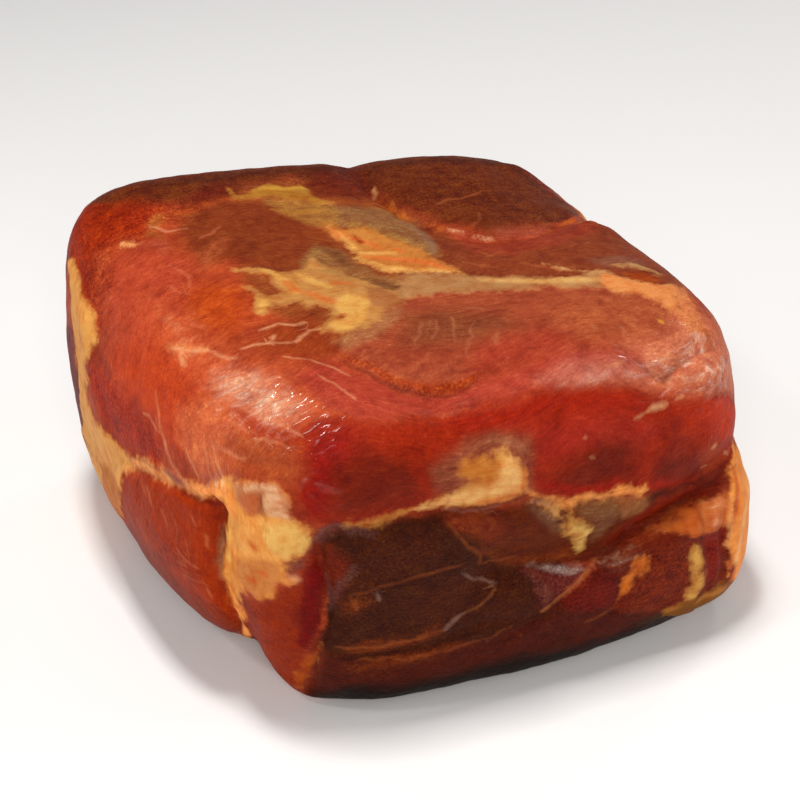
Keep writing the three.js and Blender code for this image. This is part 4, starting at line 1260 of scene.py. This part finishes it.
def fibre_places(tree, mm):
    """Two drawn-out sets of coordinates: fibres that lie on the top and front, and stand on the ends."""
    bend = add(tree, "ShaderNodeTexNoise", {"Vector": mm, "Scale": 1 / BEND_SIZE, "Detail": 1.0})["Color"]
    bent = add(tree, "ShaderNodeVectorMath", {0: bend, 1: (BEND_REACH,) * 3, 2: mm}, operation="MULTIPLY_ADD")[0]
    turn = (0, 0, math.radians(TURN))
    lying = add(tree, "ShaderNodeMapping", {"Vector": bent, "Rotation": turn, "Scale": (FIBRE_DRAW, 1, 1)})[0]
    standing = add(tree, "ShaderNodeMapping", {"Vector": bent, "Scale": (1, 1, FIBRE_DRAW)})[0]
    return lying, standing


def along_fibres(tree, places, size, detail):
    """Noise of this size in mm across the fibres, and longer along them."""
    scales = {"Scale": 1 / size, "Detail": detail, "Roughness": 0.6}
    lying, standing = (add(tree, "ShaderNodeTexNoise", {"Vector": place, **scales})["Fac"] for place in places)
    upright = add(tree, "ShaderNodeAttribute", attribute_name="upright")["Fac"]
    return add(tree, "ShaderNodeMix", {0: upright, 2: lying, 3: standing})[0]


def lean_colour(tree, patterns):
    """Lean: clouded from dark red to orange, streaked by its fibres, peppered where a crust has dried."""
    crust = add(tree, "ShaderNodeAttribute", attribute_name="crust")["Fac"]
    peppered = add(tree, "ShaderNodeMapRange", {"Value": crust, "To Min": 0.22, "To Max": 0.95})[0]
    uneven = add(tree, "ShaderNodeMapRange", {"Value": crust, "To Min": 0.55, "To Max": 0.9})[0]
    lean = add(tree, "ShaderNodeAttribute", attribute_name="lean_tone")["Color"]
    for pattern, low, high, share, factor in (
        ("clouds", 0.52, 0.36, 0.6, (0.7, 0.5, 0.5)),
        ("mottle", 0.5, 0.33, uneven, (0.66, 0.48, 0.5)),
        ("mottle", 0.52, 0.7, uneven, (1.22, 1.6, 1.5)),
        ("sinews", 0.48, 0.3, 0.65, (0.7, 0.55, 0.55)),
        ("fibres", 0.48, 0.34, 0.5, (0.72, 0.6, 0.6)),
        ("fibres", 0.55, 0.7, 0.75, (1.25, 1.8, 1.8)),
        ("specks", 0.47, 0.34, peppered, (0.58, 0.42, 0.42)),
        ("specks", 0.54, 0.66, peppered, (1.5, 2.0, 1.7)),
    ):
        lean = tinted(tree, lean, patterns[pattern], low, high, share, factor)
    return lean


def fat_colour(tree, patterns):
    """Fat: mottled from amber to cream, with faint streaks."""
    fat = add(tree, "ShaderNodeAttribute", attribute_name="fat_tone")["Color"]
    for pattern, low, high, share, factor in (
        ("lumps", 0.5, 0.36, 0.5, (0.85, 0.62, 0.5)),
        ("lumps", 0.52, 0.68, 0.5, (1.1, 1.16, 1.3)),
        ("mottle", 0.5, 0.34, 0.6, (0.92, 0.68, 0.52)),
        ("sinews", 0.5, 0.34, 0.6, (0.88, 0.66, 0.52)),
        ("fibres", 0.54, 0.7, 0.6, (1.14, 1.22, 1.4)),
    ):
        fat = tinted(tree, fat, patterns[pattern], low, high, share, factor)
    return fat


def lean_with_fat(tree, patterns):
    """Fat over lean: its edge frays, and the lean shows through it where it is thin."""
    lean = lean_colour(tree, patterns)
    depth = add(tree, "ShaderNodeAttribute", attribute_name="fat")["Fac"]
    for pattern, reach in (("lumps", 1.0), ("mottle", 1.0), ("sinews", 0.35)):
        fray = {"Value": patterns[pattern], "From Min": 0.3, "From Max": 0.7, "To Min": -reach, "To Max": reach}
        depth = add(tree, "ShaderNodeMath", {0: depth, 1: add(tree, "ShaderNodeMapRange", fray)[0]}, operation="ADD")[0]
    clear = add(tree, "ShaderNodeMapRange", {"Value": depth, "From Max": 2.4, "To Min": 0.65, "To Max": 0.0})[0]
    thin = add(tree, "ShaderNodeMix", {0: clear, 6: fat_colour(tree, patterns), 7: lean}, data_type="RGBA")[2]
    shown = add(tree, "ShaderNodeMapRange", {"Value": depth, "From Min": -0.7, "From Max": 0.6})[0]
    return add(tree, "ShaderNodeMix", {0: shown, 6: lean, 7: thin}, data_type="RGBA")[2]


def line_share(tree, patterns, name, soft, share):
    """How strongly the fine lines of this name show. Their middles wander, and they fade along the way."""
    wander = {"Value": patterns["lumps"], "From Min": 0.3, "From Max": 0.7, "To Min": -0.5, "To Max": 0.5}
    middle = add(tree, "ShaderNodeAttribute", attribute_name=name)["Fac"]
    gap = add(tree, "ShaderNodeMath", {0: middle, 1: add(tree, "ShaderNodeMapRange", wander)[0]}, operation="ADD")[0]
    gap = add(tree, "ShaderNodeMath", {0: gap}, operation="ABSOLUTE")[0]
    left = add(tree, "ShaderNodeAttribute", attribute_name=name + "_left")["Fac"]
    left = add(tree, "ShaderNodeMath", {0: left, 1: gap}, operation="SUBTRACT")[0]
    shown = add(tree, "ShaderNodeMapRange", {"Value": left, "From Min": -soft, "From Max": soft, "To Max": share})[0]
    fade = {"Value": patterns["mottle"], "From Min": 0.35, "From Max": 0.6, "To Min": 0.4}
    return add(tree, "ShaderNodeMath", {0: shown, 1: add(tree, "ShaderNodeMapRange", fade)[0]}, operation="MULTIPLY")[0]


def relief(tree, patterns, bumps):
    """Relief too fine for the mesh: pattern, strength and height in mm of each bump."""
    normal = None
    for pattern, strength, height in bumps:
        inputs = {"Height": patterns[pattern], "Strength": strength, "Distance": height * MM}
        if normal:
            inputs["Normal"] = normal
        normal = add(tree, "ShaderNodeBump", inputs)[0]
    return normal


def cured_meat():
    """Raw cured ham: lean red meat with cream fat, salted, smoked and dried, with moist films that shine."""
    material, tree, shader = new_material("cured_meat")
    place = add(tree, "ShaderNodeTexCoord")["Object"]
    mm = add(tree, "ShaderNodeVectorMath", {0: place, 1: (1 / MM,) * 3}, operation="MULTIPLY")[0]
    patterns = {
        name: add(tree, "ShaderNodeTexNoise", {"Vector": mm, "Scale": 1 / size, "Detail": detail, "Roughness": 0.62})["Fac"]
        for name, size, detail in NOISES
    }
    fibres = fibre_places(tree, mm)
    for name, size, detail in FIBRE_NOISES:
        patterns[name] = along_fibres(tree, fibres, size, detail)

    meat = lean_with_fat(tree, patterns)
    veins = line_share(tree, patterns, "vein", 0.7, 0.65)
    vein_tone = add(tree, "ShaderNodeAttribute", attribute_name="vein_tone")["Color"]
    meat = add(tree, "ShaderNodeMix", {0: veins, 6: meat, 7: vein_tone}, data_type="RGBA")[2]
    moist = add(tree, "ShaderNodeAttribute", attribute_name="moist")["Fac"]
    wet = add(tree, "ShaderNodeMapRange", {"Value": patterns["wet"], "From Min": 0.44, "From Max": 0.6})[0]
    film = add(tree, "ShaderNodeMath", {0: moist, 1: wet}, operation="MULTIPLY")[0]
    # Painted highlight: the colour turns pale where the film glints, beside the coat's real gloss
    meat = tinted(tree, meat, film, 0.3, 1.0, 0.45, (1.15, 2.0, 2.6))
    # Painted shade: the colour darkens along the creases
    crease_shade_share = line_share(tree, patterns, "crease_shade", 0.7, 0.75)
    meat = tinted(tree, meat, crease_shade_share, 0.0, 1.0, 1.0, (0.34, 0.2, 0.16))
    tree.links.new(meat, shader.inputs["Base Color"])

    dryness = add(tree, "ShaderNodeMapRange", {"Value": moist, "To Min": 0.52, "To Max": 0.36})[0]
    tree.links.new(dryness, shader.inputs["Roughness"])
    normal = relief(tree, patterns, (("ripples", 0.35, 1.5), ("specks", 0.6, 0.5), ("fibres", 0.25, 0.5)))
    tree.links.new(normal, shader.inputs["Normal"])
    shader.inputs["IOR"].default_value = 1.4
    shader.inputs["Specular IOR Level"].default_value = 0.1

    # The film of juice and melted fat lies in small beads and streaks, which glint
    tree.links.new(film, shader.inputs["Coat Weight"])
    glints = relief(tree, patterns, (("wet", 1.0, 0.9),))
    tree.links.new(glints, shader.inputs["Coat Normal"])
    shader.inputs["Coat Roughness"].default_value = 0.1
    shader.inputs["Coat IOR"].default_value = 1.47
    return material


def studio_floor():
    """Matt white card, which lies under the ham."""
    material, _, shader = new_material("white_card")
    shader.inputs["Base Color"].default_value = rgba("#eff0f2")
    shader.inputs["Roughness"].default_value = 0.9
    return material


# Stage


def add_floor():
    disc = bmesh.new()
    bmesh.ops.create_circle(disc, cap_ends=True, segments=64, radius=6.0)
    mesh = bpy.data.meshes.new("floor")
    disc.to_mesh(mesh)
    disc.free()
    mesh.materials.append(studio_floor())
    floor = bpy.data.objects.new("floor", mesh)
    bpy.context.scene.collection.objects.link(floor)


def add_softbox(name, place, aim, size, power, colour):
    lamp = bpy.data.lights.new(name, "AREA")
    lamp.shape = "RECTANGLE"
    lamp.size, lamp.size_y = size
    lamp.energy = power
    lamp.color = linear(colour)
    box = bpy.data.objects.new(name, lamp)
    box.location = place
    box.rotation_euler = (Vector(aim) - Vector(place)).to_track_quat("-Z", "Y").to_euler()
    bpy.context.scene.collection.objects.link(box)


def add_studio():
    world = bpy.data.worlds.new("studio")
    world.use_nodes = True
    sky = world.node_tree.nodes["Background"]
    sky.inputs["Color"].default_value = rgba("#fdfdff")
    sky.inputs["Strength"].default_value = 0.15
    bpy.context.scene.world = world
    add_softbox("overhead softbox", (-0.12, 0.0, 1.1), (0, 0, 0.05), (0.24, 0.16), 7.8, "#fffbf6")
    add_softbox("small lamp from the left", (-0.68, -0.05, 0.86), (0, 0, 0.05), (0.09, 0.09), 1.1, "#fffbf6")
    add_softbox("front fill", (-0.5, -1.05, 0.75), (0, 0, 0.05), (0.5, 0.5), 8.0, "#fff9f2")
    add_softbox("left fill", (-1.2, 0.2, 0.5), (0, 0, 0.05), (0.8, 0.8), 3.0, "#fff9f2")
    add_softbox("right fill", (1.1, -0.5, 0.45), (0, 0, 0.05), (0.5, 0.5), 3.5, "#fff9f2")
    add_softbox("light from the back right", (0.9, 0.42, 0.62), (0, 0, 0.05), (0.16, 0.16), 1.4, "#fffbf6")
    bpy.context.scene.view_settings.view_transform = "Standard"


add_camera()
add_studio()
add_floor()
make_ham()

bpy.context.view_layer.update()
